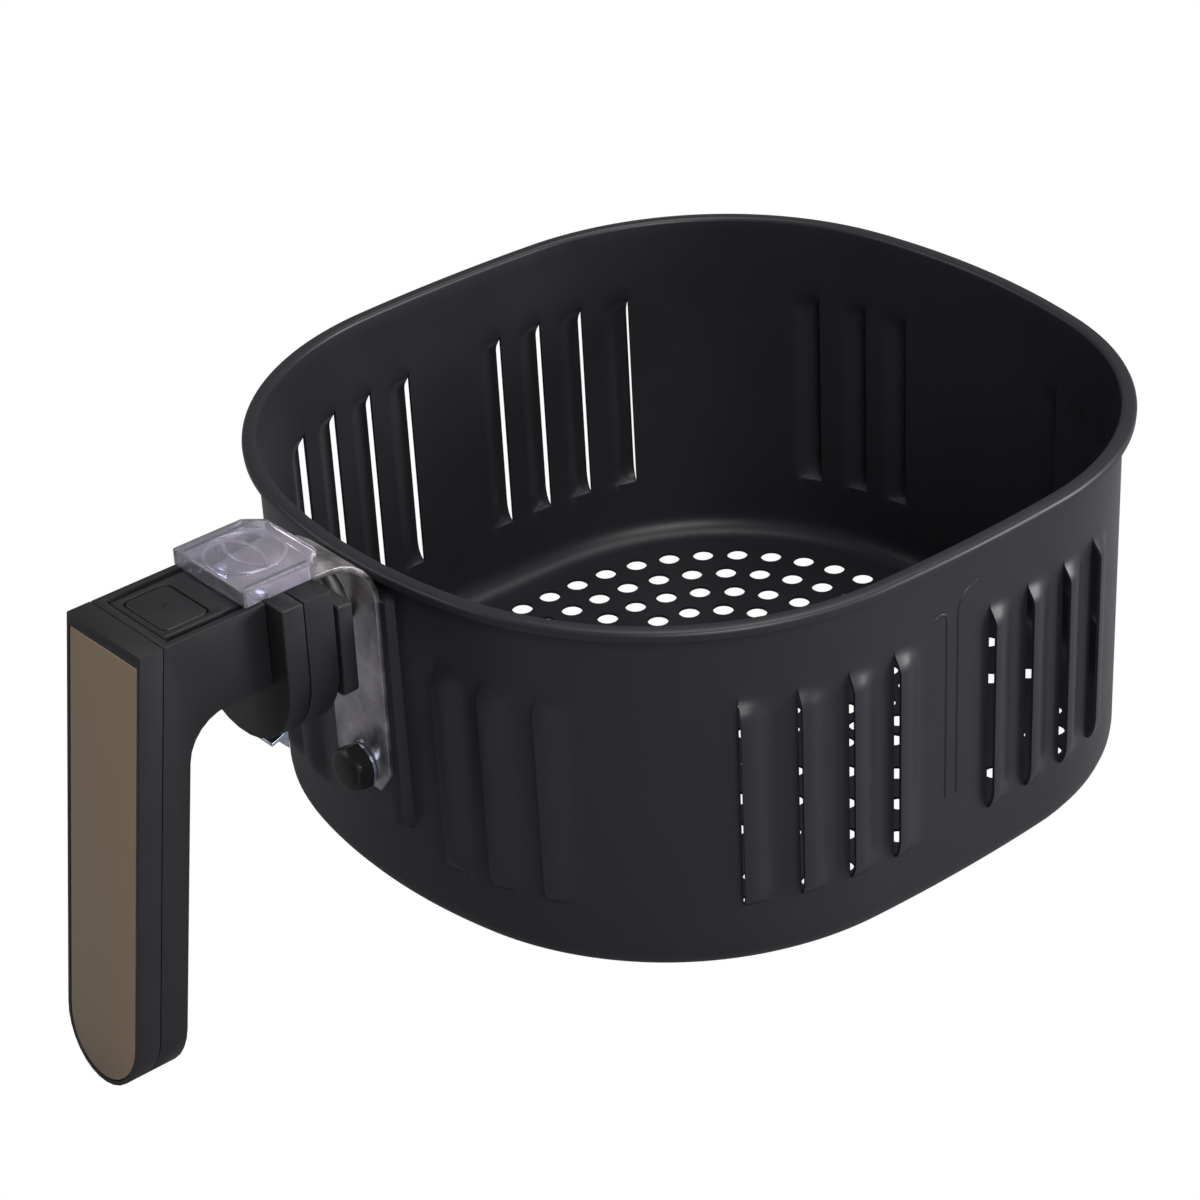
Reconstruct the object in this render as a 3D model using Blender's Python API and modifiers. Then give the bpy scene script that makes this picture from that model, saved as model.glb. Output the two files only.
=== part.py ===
"""Air fryer basket with an L-shaped handle, a release button and a sliding guard.

The basket is one deep-drawn steel shell with lanced louvres. A steel strap bolted to
its front carries a plastic collar, and the hollow handle is screwed to the collar.
The button on top of the handle tips a lever that lifts the latch hook, and a clear
guard slides over the button to lock it.

Metres, +Z up. The basket stands on z = 0 with its middle over the origin, the handle
points along -Y, and +X is to the right.
"""

import math

import bmesh
import bpy
from mathutils import Matrix, Vector

COLLECTION = "air_fryer_basket"
GAP = 0.0003                  # clearance between neighbouring pieces
EASY = 0.001                  # how far a cutter runs past the face it opens

# Basket plan: four shallow arcs joined by four corner arcs, all on the outer wall
HALF_WIDTH = 0.1034
FRONT_DEPTH = 0.1073
BACK_DEPTH = 0.1123
SIDE_RADIUS = 0.498
FRONT_RADIUS = 0.168
BACK_RADIUS = 0.192
FRONT_CORNER = 0.084
BACK_CORNER = 0.080
ARC_STEPS = 8

# Basket section
BASKET_HEIGHT = 0.1038
SHEET = 0.0008
WALL_DRAFT = 0.0012
FLOOR_FILLET = 0.007
RIM_REACH = 0.0035
RIM_BEND = 0.0013
RIM_DROP = 0.0020

# Louvres: hoods pressed outward and open along one side
LOUVRE_LOW = 0.0200
LOUVRE_HIGH = 0.0810
LOUVRE_WIDTH = 0.0080
LOUVRE_RISE = 0.0028
LOUVRE_PITCH = 0.0142
LOUVRE_FLAT = 0.0030          # flat top of a hood, beside its open edge
LOUVRE_SLOPE_SHIFT = 1.4      # keeps the sloping side one sheet thick
LOUVRE_OVERCUT = 0.00005      # the hollow just passes the open edge
SIDE_LOUVRE_FIRST = 0.0166
SIDE_LOUVRES = 4
END_LOUVRE_FIRST = 0.0305
END_LOUVRES = 3

# Pressed pad and strap
ARM_HALF = 0.0155
ARM_WALL = 0.0021
STRAP_MARGIN = 0.0045         # strap edge to arm side
STRAP_HALF = ARM_HALF - STRAP_MARGIN
PAD_MARGIN = 0.0015
PAD_HALF = STRAP_HALF + PAD_MARGIN
PAD_LOW = 0.0260
PAD_HIGH = 0.0960
STRAP_STANDOFF = 0.0019       # strap back face ahead of the wall at the rim
STRAP_THICK = 0.0016
STRAP_BEND = 0.0150
STRAP_TOP = 0.1094
STRAP_LOW = 0.0365
STRAP_CLIP = 0.0045
BOLT_HEIGHT = 0.0420
BOLT_RADIUS = 0.0025
BOLT_CLEARANCE = 0.0003
BOLT_HEAD_RADIUS = 0.0070
BOLT_HEAD_RISE = 0.0022
WASHER_RADIUS = 0.0058
WASHER_THICK = 0.0008
CAP_RADIUS = 0.0064
CAP_LENGTH = 0.0056

# Handle: arm, leaning grip, cover and insert
HANDLE_TOP = 0.1112
ARM_BOTTOM = 0.0880
ARM_FLOOR = 0.0020
SEAM_Y = -0.1760
GRIP_LEAN = math.radians(7.5)
GRIP_DEPTH = 0.0082
GRIP_WALL = 0.0020
GRIP_END = 0.0027             # height of the middle of the round lower end
CROOK_RADIUS = 0.0125
COVER_DEPTH = 0.0068
COVER_HOLLOW = 0.0036
INSERT_THICK = 0.0012
INSERT_MARGIN = 0.0011
INSERT_TOP_MARGIN = 0.0030
GRIP_SCREW_HEIGHTS = (0.0740, 0.0140)

# Collar, hook flange and the channel along the handle's top
COLLAR_Y = -0.1460
COLLAR_SPLIT = -0.1397
COLLAR_BACK = -0.1310
COLLAR_HALF = 0.0220
CHANNEL_HALF = ARM_HALF - ARM_WALL
CHANNEL_FLOOR = STRAP_TOP - STRAP_THICK - GAP
FLANGE_GAP = 0.0019           # room for the wall of a drawer
FLANGE_THICK = 0.0046
FLANGE_HALF = 0.0210
FLANGE_LOW = 0.0790
FLANGE_HIGH = 0.1050
NECK_HALF = 0.0120
NECK_HEIGHT = 0.0120
FLANGE_CLIP = 0.0012

# Deck, button and lever
TRACK_WIDTH = 0.0019          # slot for a leg of the guard, deck to arm wall
DECK_HALF = ARM_HALF - ARM_WALL - TRACK_WIDTH
DECK_THICK = 0.0023
POST_DEPTH = 0.0020
POST_INSET = 0.0050
DECK_FRONT = -0.1732
DECK_BACK = -0.1490
BUTTON_Y = -0.1645
DECK_FRAME = 0.0023           # width of deck beside the button
BUTTON_HALF = DECK_HALF - DECK_FRAME
BUTTON_LENGTH = 0.0132
BUTTON_HEIGHT = 0.0070
STEM_Y = -0.1620
STEM_RADIUS = 0.0012
LEVER_HALF = 0.0026
LEVER_LOW = 0.0945
LEVER_HIGH = 0.0980
LEVER_FRONT = -0.1640
LEVER_BACK = -0.1342
PIVOT_Y = -0.1500
PIVOT_RADIUS = 0.0011
HUB_RADIUS = 0.0028
HUB_HALF = 0.0036
WINDOW_HALF = 0.0043
WINDOW_LOW = 0.0902
WINDOW_HIGH = 0.1016

# Latch hook and the springs
LATCH_Y = -0.1366
LATCH_THICK = 0.0012
LATCH_HALF = 0.0045
LATCH_LOW = 0.0600
LATCH_HIGH = 0.0997
LATCH_EYE_HALF = 0.0032
PRONG_LENGTH = 0.0040
PRONG_HIGH = 0.0650
POCKET_HALF = 0.0052
POCKET_BACK = -0.1338
POCKET_ROOF = 0.1068
WIRE_RADIUS = 0.0004
BUTTON_SPRING_Y = -0.1685
BUTTON_SPRING_RADIUS = 0.0021
BUTTON_SPRING_TURNS = 5
LATCH_SPRING_RADIUS = 0.0019
LATCH_SPRING_TURNS = 3

# Guard
GUARD_MARGIN = 0.0005
GUARD_HALF = ARM_HALF - GUARD_MARGIN
GUARD_FRONT = -0.1516
GUARD_BACK = -0.1262
GUARD_CLIP = 0.0045
GUARD_HIGH = 0.1164
GUARD_PLATE = 0.0014
GUARD_SKIRT = 0.0012
LEG_CLEARANCE = 0.0004
GUARD_LEG_IN = DECK_HALF + LEG_CLEARANCE
GUARD_LEG_OUT = ARM_HALF - ARM_WALL - LEG_CLEARANCE
GUARD_LEG_LOW = 0.1082
GUARD_LEG_INSET = 0.0018
RIDGE_HALF = 0.0085
RIDGE_WIDTH = 0.0012
RIDGE_RISE = 0.0008

# Small screws
SCREW_RADIUS = 0.00125
SCREW_HEAD_RADIUS = 0.0023
SCREW_HEAD_RISE = 0.0012
SCREW_CLEARANCE = 0.0003
INSERT_OUTER = 0.0022
STRAP_SCREW_INSET = 0.0035
STRAP_SCREW_X = STRAP_HALF - STRAP_SCREW_INSET
COLLAR_SCREW_X = 0.0176
COLLAR_SCREW_Z = 0.0960
ARM_SCREW_INSET = 0.0060
ARM_SCREW_X = ARM_HALF - ARM_SCREW_INSET
ARM_SCREW_Z = 0.0925
SCREW_DEPTH = 0.0050          # depth of a blind screw hole in the collar
STRAP_SCREW_LENGTH = 0.0098
INSERT_LENGTH = 0.0080


# ---------------------------------------------------------------- helpers

def clear_scene():
    for old in list(bpy.data.objects):
        bpy.data.objects.remove(old, do_unlink=True)


def collection(name):
    group = bpy.data.collections.new(name)
    bpy.context.scene.collection.children.link(group)
    return group


def material(name, colour, roughness, metallic=0.0, alpha=1.0):
    mat = bpy.data.materials.new(name)
    mat.use_nodes = True
    shader = mat.node_tree.nodes["Principled BSDF"]
    shader.inputs["Base Color"].default_value = (*colour, 1.0)
    shader.inputs["Roughness"].default_value = roughness
    shader.inputs["Metallic"].default_value = metallic
    shader.inputs["Alpha"].default_value = alpha
    mat.diffuse_color = (*colour, alpha)
    return mat


def add_object(name, bm, mat=None, origin=(0, 0, 0)):
    """Turn a bmesh in world coordinates into an object whose origin is given."""
    origin = Vector(origin)
    bmesh.ops.translate(bm, verts=bm.verts, vec=-origin)
    bmesh.ops.recalc_face_normals(bm, faces=bm.faces)
    mesh = bpy.data.meshes.new(name)
    bm.to_mesh(mesh)
    bm.free()
    mesh.shade_smooth()
    mesh.set_sharp_from_angle(angle=math.radians(35))
    obj = bpy.data.objects.new(name, mesh)
    obj.location = origin
    if mat:
        mesh.materials.append(mat)
        parts.objects.link(obj)
    else:
        cutters.objects.link(obj)
        obj.hide_render = True
        obj.display_type = "WIRE"
    return obj


def add_box(bm, low, high):
    low, high = Vector(low), Vector(high)
    place = Matrix.Translation((low + high) / 2) @ Matrix.Diagonal((*(high - low), 1.0))
    bmesh.ops.create_cube(bm, size=1.0, matrix=place)


def add_cylinder(bm, start, end, radius, sides=20, end_radius=None):
    start, end = Vector(start), Vector(end)
    run = end - start
    turn = run.to_track_quat("Z", "Y").to_matrix().to_4x4()
    bmesh.ops.create_cone(
        bm, cap_ends=True, segments=sides, radius1=radius,
        radius2=radius if end_radius is None else end_radius,
        depth=run.length, matrix=Matrix.Translation((start + end) / 2) @ turn)


def add_prism(bm, outline, axis, low, high):
    """Extrude a closed outline of (a, b) points along X, Y or Z, and return its vertices."""
    place = {"X": lambda a, b: (low, a, b),
             "Y": lambda a, b: (a, low, b),
             "Z": lambda a, b: (a, b, low)}[axis]
    step = {"X": (high - low, 0, 0), "Y": (0, high - low, 0), "Z": (0, 0, high - low)}[axis]
    start = [bm.verts.new(place(a, b)) for a, b in outline]
    face = bm.faces.new(start)
    pushed = bmesh.ops.extrude_face_region(bm, geom=[face])["geom"]
    moved = [v for v in pushed if isinstance(v, bmesh.types.BMVert)]
    bmesh.ops.translate(bm, verts=moved, vec=step)
    return start + moved


def boolean(obj, other, operation):
    mod = obj.modifiers.new(operation.title(), "BOOLEAN")
    mod.operation = operation
    mod.object = other


def tool(name, build):
    """A cutter or an added body, built by a function that fills a bmesh."""
    bm = bmesh.new()
    build(bm)
    return add_object(name, bm)


def turned(name, profile, origin, mat, steps=24):
    """Turn (radius, distance) points about an axis that points along -Y."""
    mesh = bpy.data.meshes.new(name)
    points = [(radius, 0.0, along) for radius, along in profile]
    closed = profile[0][0] > 0
    edges = [(i, i + 1) for i in range(len(points) - 1)]
    if closed:
        edges.append((len(points) - 1, 0))
    mesh.from_pydata(points, edges, [])
    mesh.materials.append(mat)
    obj = bpy.data.objects.new(name, mesh)
    obj.location = origin
    obj.rotation_euler = (math.pi / 2, 0, 0)
    mod = obj.modifiers.new("Screw", "SCREW")
    mod.axis = "Z"
    mod.steps = mod.render_steps = steps
    mod.use_merge_vertices = True
    mod.merge_threshold = 0.00002
    parts.objects.link(obj)
    return obj


# ---------------------------------------------------------------- basket plan

def corner_arc(half_width, depth, side_radius, end_radius, corner_radius):
    """Middle of the corner arc that touches a side arc and an end arc, x and y > 0."""
    side_x, side_reach = half_width - side_radius, side_radius - corner_radius
    end_y, end_reach = depth - end_radius, end_radius - corner_radius
    apart = math.hypot(side_x, end_y)
    along = (side_reach ** 2 - end_reach ** 2 + apart ** 2) / (2 * apart)
    across = math.sqrt(side_reach ** 2 - along ** 2)
    ux, uy = -side_x / apart, end_y / apart
    options = [(side_x + along * ux + s * across * uy, along * uy - s * across * ux)
               for s in (1, -1)]
    return max(options, key=sum)


def plan_arcs():
    """The plan's eight arcs, anticlockwise: (middle x, middle y, radius, start, end)."""
    bx, by = corner_arc(HALF_WIDTH, BACK_DEPTH, SIDE_RADIUS, BACK_RADIUS, BACK_CORNER)
    fx, fy = corner_arc(HALF_WIDTH, FRONT_DEPTH, SIDE_RADIUS, FRONT_RADIUS, FRONT_CORNER)
    side_x = HALF_WIDTH - SIDE_RADIUS
    back_side = math.atan2(by, bx - side_x)
    back_end = math.atan2(by - (BACK_DEPTH - BACK_RADIUS), bx)
    front_side = math.atan2(fy, fx - side_x)
    front_end = math.atan2(fy - (FRONT_DEPTH - FRONT_RADIUS), fx)
    turn = math.pi
    return [
        (side_x, 0, SIDE_RADIUS, -front_side, back_side),
        (bx, by, BACK_CORNER, back_side, back_end),
        (0, BACK_DEPTH - BACK_RADIUS, BACK_RADIUS, back_end, turn - back_end),
        (-bx, by, BACK_CORNER, turn - back_end, turn - back_side),
        (-side_x, 0, SIDE_RADIUS, turn - back_side, turn + front_side),
        (-fx, -fy, FRONT_CORNER, turn + front_side, turn + front_end),
        (0, FRONT_RADIUS - FRONT_DEPTH, FRONT_RADIUS, turn + front_end, 2 * turn - front_end),
        (fx, -fy, FRONT_CORNER, 2 * turn - front_end, 2 * turn - front_side)]


def plan_points():
    """Points round the plan with their outward normals."""
    out = []
    for mx, my, radius, start, end in plan_arcs():
        for step in range(ARC_STEPS):
            angle = start + (end - start) * step / ARC_STEPS
            nx, ny = math.cos(angle), math.sin(angle)
            out.append(((mx + radius * nx, my + radius * ny), (nx, ny)))
    return out


def plan_at(side, across):
    """Point and outward normal where the wall on side +X, -X, +Y or -Y crosses a line."""
    sign = 1 if side[0] == "+" else -1
    for mx, my, radius, start, end in plan_arcs():
        if side[1] == "X":
            reach = across - my
            nx, ny = sign * math.sqrt(max(0, 1 - (reach / radius) ** 2)), reach / radius
        else:
            reach = across - mx
            nx, ny = reach / radius, sign * math.sqrt(max(0, 1 - (reach / radius) ** 2))
        angle = math.atan2(ny, nx)
        for turned_by in (0, 2 * math.pi):
            if abs(reach) <= radius and start <= angle + turned_by <= end:
                return (mx + radius * nx, my + radius * ny), (nx, ny)
    raise ValueError("no wall there")


# ---------------------------------------------------------------- basket

def inner_section():
    """(offset from the outer wall, height) up the inner face and over the rim."""
    foot = WALL_DRAFT + SHEET
    bend = FLOOR_FILLET - SHEET
    section = [(-foot - bend * (1 - math.sin(a)), SHEET + bend * (1 - math.cos(a)))
               for a in (math.radians(d) for d in (0, 30, 60, 90))]
    top = BASKET_HEIGHT
    section += [(-SHEET + RIM_BEND * (1 - math.cos(a)), top - RIM_BEND * (1 - math.sin(a)))
                for a in (math.radians(d) for d in (0, 45, 90))]
    section += [(RIM_REACH - RIM_BEND * (1 - math.sin(a)), top - RIM_BEND * (1 - math.cos(a)))
                for a in (math.radians(d) for d in (0, 45, 90))]
    section.append((RIM_REACH, top - RIM_DROP))
    return section


def louvre_places():
    """(side, position across) of every louvre."""
    places = []
    for sign in (1, -1):
        name = "+" if sign > 0 else "-"
        for half in (1, -1):
            for i in range(SIDE_LOUVRES):
                places.append((name + "X", half * (SIDE_LOUVRE_FIRST + i * LOUVRE_PITCH)))
            for i in range(END_LOUVRES):
                places.append((name + "Y", half * (END_LOUVRE_FIRST + i * LOUVRE_PITCH)))
    return places


def louvre_frame(side, across):
    """Matrix with X along the wall clockwise from above, Y up and Z outward."""
    (px, py), (nx, ny) = plan_at(side, across)
    along = Vector((ny, -nx, 0))
    turn = Matrix((along, Vector((0, 0, 1)), Vector((nx, ny, 0)))).transposed().to_4x4()
    return Matrix.Translation((px, py, 0)) @ turn


def hoods(bm, inside):
    """The hoods' outer wedges, or the hollows inside them, one sheet thickness smaller."""
    half = LOUVRE_WIDTH / 2
    shrink = SHEET if inside else 0
    closed = -half + LOUVRE_SLOPE_SHIFT * shrink
    opened = half + (LOUVRE_OVERCUT if inside else 0)
    root = -4 * SHEET if inside else -(SHEET + WALL_DRAFT) / 2
    rise = LOUVRE_RISE - shrink
    section = [(closed, root), (opened, root), (opened, rise), (half - LOUVRE_FLAT, rise),
               (closed, -WALL_DRAFT / 4 - shrink)]
    for side, across in louvre_places():
        wedge = add_prism(bm, section, "Y", LOUVRE_LOW + shrink, LOUVRE_HIGH - shrink)
        bmesh.ops.transform(bm, matrix=louvre_frame(side, across), verts=wedge)


def make_basket(mat):
    bm = bmesh.new()
    points = plan_points()
    rings = []
    for offset, height in inner_section():
        rings.append([bm.verts.new((x + nx * offset, y + ny * offset, height))
                      for (x, y), (nx, ny) in points])
    count = len(points)
    bm.faces.new(rings[0])
    for lower, upper in zip(rings, rings[1:]):
        for i in range(count):
            j = (i + 1) % count
            bm.faces.new((lower[i], upper[i], upper[j], lower[j]))
    mesh = bpy.data.meshes.new("basket_shell")
    bm.to_mesh(mesh)
    bm.free()
    mesh.materials.append(mat)
    obj = bpy.data.objects.new("basket_shell", mesh)
    parts.objects.link(obj)
    shell = obj.modifiers.new("Sheet", "SOLIDIFY")
    shell.thickness = SHEET
    shell.offset = -1.0
    shell.use_even_offset = True
    pad_face = -(FRONT_DEPTH + STRAP_STANDOFF - GAP)
    wall_inside = -(FRONT_DEPTH - WALL_DRAFT - SHEET / 2)
    boolean(obj, tool("pad_outside", lambda b: add_box(
        b, (-PAD_HALF, pad_face, PAD_LOW), (PAD_HALF, wall_inside, PAD_HIGH))), "UNION")
    boolean(obj, tool("pad_inside", lambda b: add_box(
        b, (-PAD_HALF + SHEET, pad_face + SHEET, PAD_LOW + SHEET),
        (PAD_HALF - SHEET, wall_inside + 4 * SHEET, PAD_HIGH - SHEET))), "DIFFERENCE")
    boolean(obj, tool("louvre_hoods", lambda b: hoods(b, False)), "UNION")
    boolean(obj, tool("louvre_hollows", lambda b: hoods(b, True)), "DIFFERENCE")
    boolean(obj, tool("bolt_hole", lambda b: add_cylinder(
        b, (0, pad_face - EASY, BOLT_HEIGHT), (0, wall_inside + EASY, BOLT_HEIGHT),
        BOLT_RADIUS + BOLT_CLEARANCE)), "DIFFERENCE")


# ---------------------------------------------------------------- strap and its bolt

def strap_face():
    """Y of the strap's back face, which stands against the pad."""
    return -(FRONT_DEPTH + STRAP_STANDOFF)


def make_strap(mat):
    back = strap_face()
    end = COLLAR_Y + GAP
    middle_y, middle_z = back - STRAP_BEND, STRAP_TOP - STRAP_BEND
    outside = [(middle_y + STRAP_BEND * math.cos(a), middle_z + STRAP_BEND * math.sin(a))
               for a in (math.radians(d) for d in range(0, 91, 15))]
    inner = STRAP_BEND - STRAP_THICK
    inside = [(middle_y + inner * math.cos(a), middle_z + inner * math.sin(a))
              for a in (math.radians(d) for d in range(90, -1, -15))]
    side = ([(back, STRAP_LOW)] + outside + [(end, STRAP_TOP), (end, STRAP_TOP - STRAP_THICK)]
            + inside + [(back - STRAP_THICK, STRAP_LOW)])
    bm = bmesh.new()
    add_prism(bm, side, "X", -STRAP_HALF, STRAP_HALF)
    obj = add_object("mounting_strap", bm, mat)
    clip = STRAP_CLIP

    def corners(b):
        for s in (1, -1):
            outline = [(s * (STRAP_HALF - clip), STRAP_LOW - EASY),
                       (s * (STRAP_HALF + EASY), STRAP_LOW - EASY),
                       (s * (STRAP_HALF + EASY), STRAP_LOW + 1.4 * clip),
                       (s * STRAP_HALF, STRAP_LOW + 1.4 * clip),
                       (s * (STRAP_HALF - clip), STRAP_LOW)]
            add_prism(b, outline, "Y", back - STRAP_THICK - EASY, back + EASY)
    boolean(obj, tool("strap_corners", corners), "DIFFERENCE")

    def holes(b):
        add_cylinder(b, (0, back - STRAP_THICK - EASY, BOLT_HEIGHT),
                     (0, back + EASY, BOLT_HEIGHT), BOLT_RADIUS + BOLT_CLEARANCE)
        for x, y in strap_screw_places():
            add_cylinder(b, (x, y, STRAP_TOP - STRAP_THICK - EASY), (x, y, STRAP_TOP + EASY),
                         SCREW_RADIUS + SCREW_CLEARANCE, 16)
    boolean(obj, tool("strap_holes", holes), "DIFFERENCE")


def make_bolt(bolt_mat, washer_mat, cap_mat):
    head_seat = strap_face() + GAP + SHEET + GAP
    washer_seat = strap_face() - STRAP_THICK - GAP
    cap_seat = washer_seat - WASHER_THICK - GAP
    bore_depth = CAP_LENGTH * 0.6
    tip = cap_seat - bore_depth + GAP
    shank = head_seat - tip
    turned("strap_bolt", [
        (0, shank), (BOLT_RADIUS - GAP, shank), (BOLT_RADIUS, shank - GAP), (BOLT_RADIUS, 0),
        (BOLT_HEAD_RADIUS, 0), (BOLT_HEAD_RADIUS * 0.92, -BOLT_HEAD_RISE * 0.55),
        (BOLT_HEAD_RADIUS * 0.6, -BOLT_HEAD_RISE * 0.9), (0, -BOLT_HEAD_RISE)],
        (0, head_seat, BOLT_HEIGHT), bolt_mat)
    hole = BOLT_RADIUS + BOLT_CLEARANCE
    turned("strap_washer", [
        (WASHER_RADIUS, WASHER_THICK), (WASHER_RADIUS, 0), (hole, 0), (hole, WASHER_THICK)],
        (0, washer_seat, BOLT_HEIGHT), washer_mat)
    turned("cap_nut", [
        (0, CAP_LENGTH), (CAP_RADIUS * 0.5, CAP_LENGTH * 0.97),
        (CAP_RADIUS * 0.84, CAP_LENGTH * 0.84), (CAP_RADIUS, CAP_LENGTH * 0.55),
        (CAP_RADIUS, 0), (hole, 0), (hole, bore_depth), (0, bore_depth)],
        (0, cap_seat, BOLT_HEIGHT), cap_mat)


# ---------------------------------------------------------------- handle

def seam(z):
    """Y of the seam between the handle body and its cover at a height."""
    return SEAM_Y - (HANDLE_TOP - z) * math.tan(GRIP_LEAN)


def grip_face(z, depth):
    """Y of a face parallel to the seam, at a depth measured square to it."""
    return seam(z) + depth / math.cos(GRIP_LEAN)


def front_outline(half, top, end):
    """Front view: straight sides, a flat top and a round lower end, as (x, z)."""
    arc = [(-half * math.cos(a), end - half * math.sin(a))
           for a in (math.radians(d) for d in range(0, 181, 12))]
    return arc + [(half, top), (-half, top)]


def slab(name, near, far, half, top, end, mat=None):
    """A leaning slab between two depths behind the seam with the grip's front view."""
    low = end - half - EASY
    bm = bmesh.new()
    add_prism(bm, [(grip_face(top, near), top), (grip_face(top, far), top),
                   (grip_face(low, far), low), (grip_face(low, near), low)],
              "X", -half - EASY, half + EASY)
    obj = add_object(name, bm, mat)
    front = front_outline(half, top + EASY, end)
    boolean(obj, tool(name + "_front_view", lambda b: add_prism(
        b, front, "Y", seam(low) - 0.03, SEAM_Y + 0.04)), "INTERSECT")
    return obj


def grip_screw_line(z):
    """Start on the seam at a height, and the direction square to the seam."""
    square = Vector((0, math.cos(GRIP_LEAN), -math.sin(GRIP_LEAN)))
    return Vector((0, seam(z), z)), square


def make_handle_body(mat):
    low = GRIP_END - ARM_HALF - EASY
    near = GAP / 2
    rear = GRIP_DEPTH
    zc = ARM_BOTTOM - CROOK_RADIUS
    yc = grip_face(zc, rear) + CROOK_RADIUS / math.cos(GRIP_LEAN)
    crook = [(yc + CROOK_RADIUS * math.cos(a), zc + CROOK_RADIUS * math.sin(a))
             for a in (math.pi / 2 + (math.pi / 2 - GRIP_LEAN) * i / 6 for i in range(7))]
    end = COLLAR_Y - GAP
    side = ([(grip_face(HANDLE_TOP, near), HANDLE_TOP), (end, HANDLE_TOP), (end, ARM_BOTTOM)]
            + crook + [(grip_face(low, rear), low), (grip_face(low, near), low)])
    bm = bmesh.new()
    add_prism(bm, side, "X", -ARM_HALF - EASY, ARM_HALF + EASY)
    obj = add_object("handle_body", bm, mat)
    front = front_outline(ARM_HALF, HANDLE_TOP + EASY, GRIP_END)
    boolean(obj, tool("handle_front_view", lambda b: add_prism(
        b, front, "Y", seam(low) - EASY, end + EASY)), "INTERSECT")
    inside = ARM_HALF - ARM_WALL

    def arm_hollow(b):
        end_wall = end - ARM_WALL
        add_box(b, (-inside, DECK_FRONT - GAP, ARM_BOTTOM + ARM_FLOOR),
                (inside, end_wall, HANDLE_TOP + EASY))
    boolean(obj, tool("arm_hollow", arm_hollow), "DIFFERENCE")
    boolean(obj, tool("arm_channel", lambda b: add_box(
        b, (-CHANNEL_HALF, end - ARM_WALL - EASY, CHANNEL_FLOOR),
        (CHANNEL_HALF, end + EASY, HANDLE_TOP + EASY))), "DIFFERENCE")
    boolean(obj, tool("arm_window", lambda b: add_box(
        b, (-WINDOW_HALF, end - ARM_WALL - EASY, WINDOW_LOW),
        (WINDOW_HALF, end + EASY, WINDOW_HIGH))), "DIFFERENCE")
    hollow_top = ARM_BOTTOM - GRIP_WALL
    hollow = slab("grip_hollow", -EASY, rear - GRIP_WALL, inside, hollow_top, GRIP_END)
    boolean(obj, hollow, "DIFFERENCE")

    def screw_holes(b):
        for z in GRIP_SCREW_HEIGHTS:
            start, square = grip_screw_line(z)
            add_cylinder(b, start, start + square * (rear + EASY),
                         SCREW_RADIUS + SCREW_CLEARANCE, 16)
        for s in (1, -1):
            add_cylinder(b, (s * ARM_SCREW_X, end - ARM_WALL - EASY, ARM_SCREW_Z),
                         (s * ARM_SCREW_X, end + EASY, ARM_SCREW_Z),
                         SCREW_RADIUS + SCREW_CLEARANCE, 16)
    boolean(obj, tool("handle_screw_holes", screw_holes), "DIFFERENCE")


def make_cover(cover_mat, insert_mat):
    near = -COVER_DEPTH
    obj = slab("grip_cover", near, -GAP / 2, ARM_HALF, HANDLE_TOP, GRIP_END, cover_mat)
    half = ARM_HALF - INSERT_MARGIN
    top = HANDLE_TOP - INSERT_TOP_MARGIN
    seat = near + INSERT_THICK + GAP
    recess = slab("insert_recess", near - EASY, seat, half, top, GRIP_END)
    boolean(obj, recess, "DIFFERENCE")
    inside = ARM_HALF - ARM_WALL
    hollow = slab("cover_hollow", -COVER_HOLLOW, EASY, inside, HANDLE_TOP - GRIP_WALL, GRIP_END)
    boolean(obj, hollow, "DIFFERENCE")

    def bosses(b, radius, reach):
        for z in GRIP_SCREW_HEIGHTS:
            start, square = grip_screw_line(z)
            add_cylinder(b, start - square * (COVER_HOLLOW + reach), start - square * GAP / 2,
                         radius, 16)
    boolean(obj, tool("cover_bosses", lambda b: bosses(b, 2.4 * SCREW_RADIUS, GAP)), "UNION")

    def threads(b):
        for z in GRIP_SCREW_HEIGHTS:
            start, square = grip_screw_line(z)
            add_cylinder(b, start - square * COVER_HOLLOW, start + square * EASY,
                         SCREW_RADIUS + SCREW_CLEARANCE, 16)
    boolean(obj, tool("cover_threads", threads), "DIFFERENCE")
    slab("insert_plate", near, near + INSERT_THICK, half - GAP, top - GAP, GRIP_END, insert_mat)


def make_screw(name, seat, direction, length, mat):
    """A pan-head screw: its head stands on the seat and its shank goes along direction."""
    seat, direction = Vector(seat), Vector(direction)
    bm = bmesh.new()
    add_cylinder(bm, seat, seat - direction * SCREW_HEAD_RISE, SCREW_HEAD_RADIUS, 16,
                 SCREW_HEAD_RADIUS * 0.75)
    obj = add_object(name, bm, mat)
    boolean(obj, tool(name + "_shank", lambda b: add_cylinder(
        b, seat - direction * SCREW_HEAD_RISE / 2, seat + direction * length,
        SCREW_RADIUS, 12)), "UNION")


def strap_screw_places():
    y = (COLLAR_Y + COLLAR_SPLIT) / 2
    return [(STRAP_SCREW_X, y), (-STRAP_SCREW_X, y)]


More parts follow.
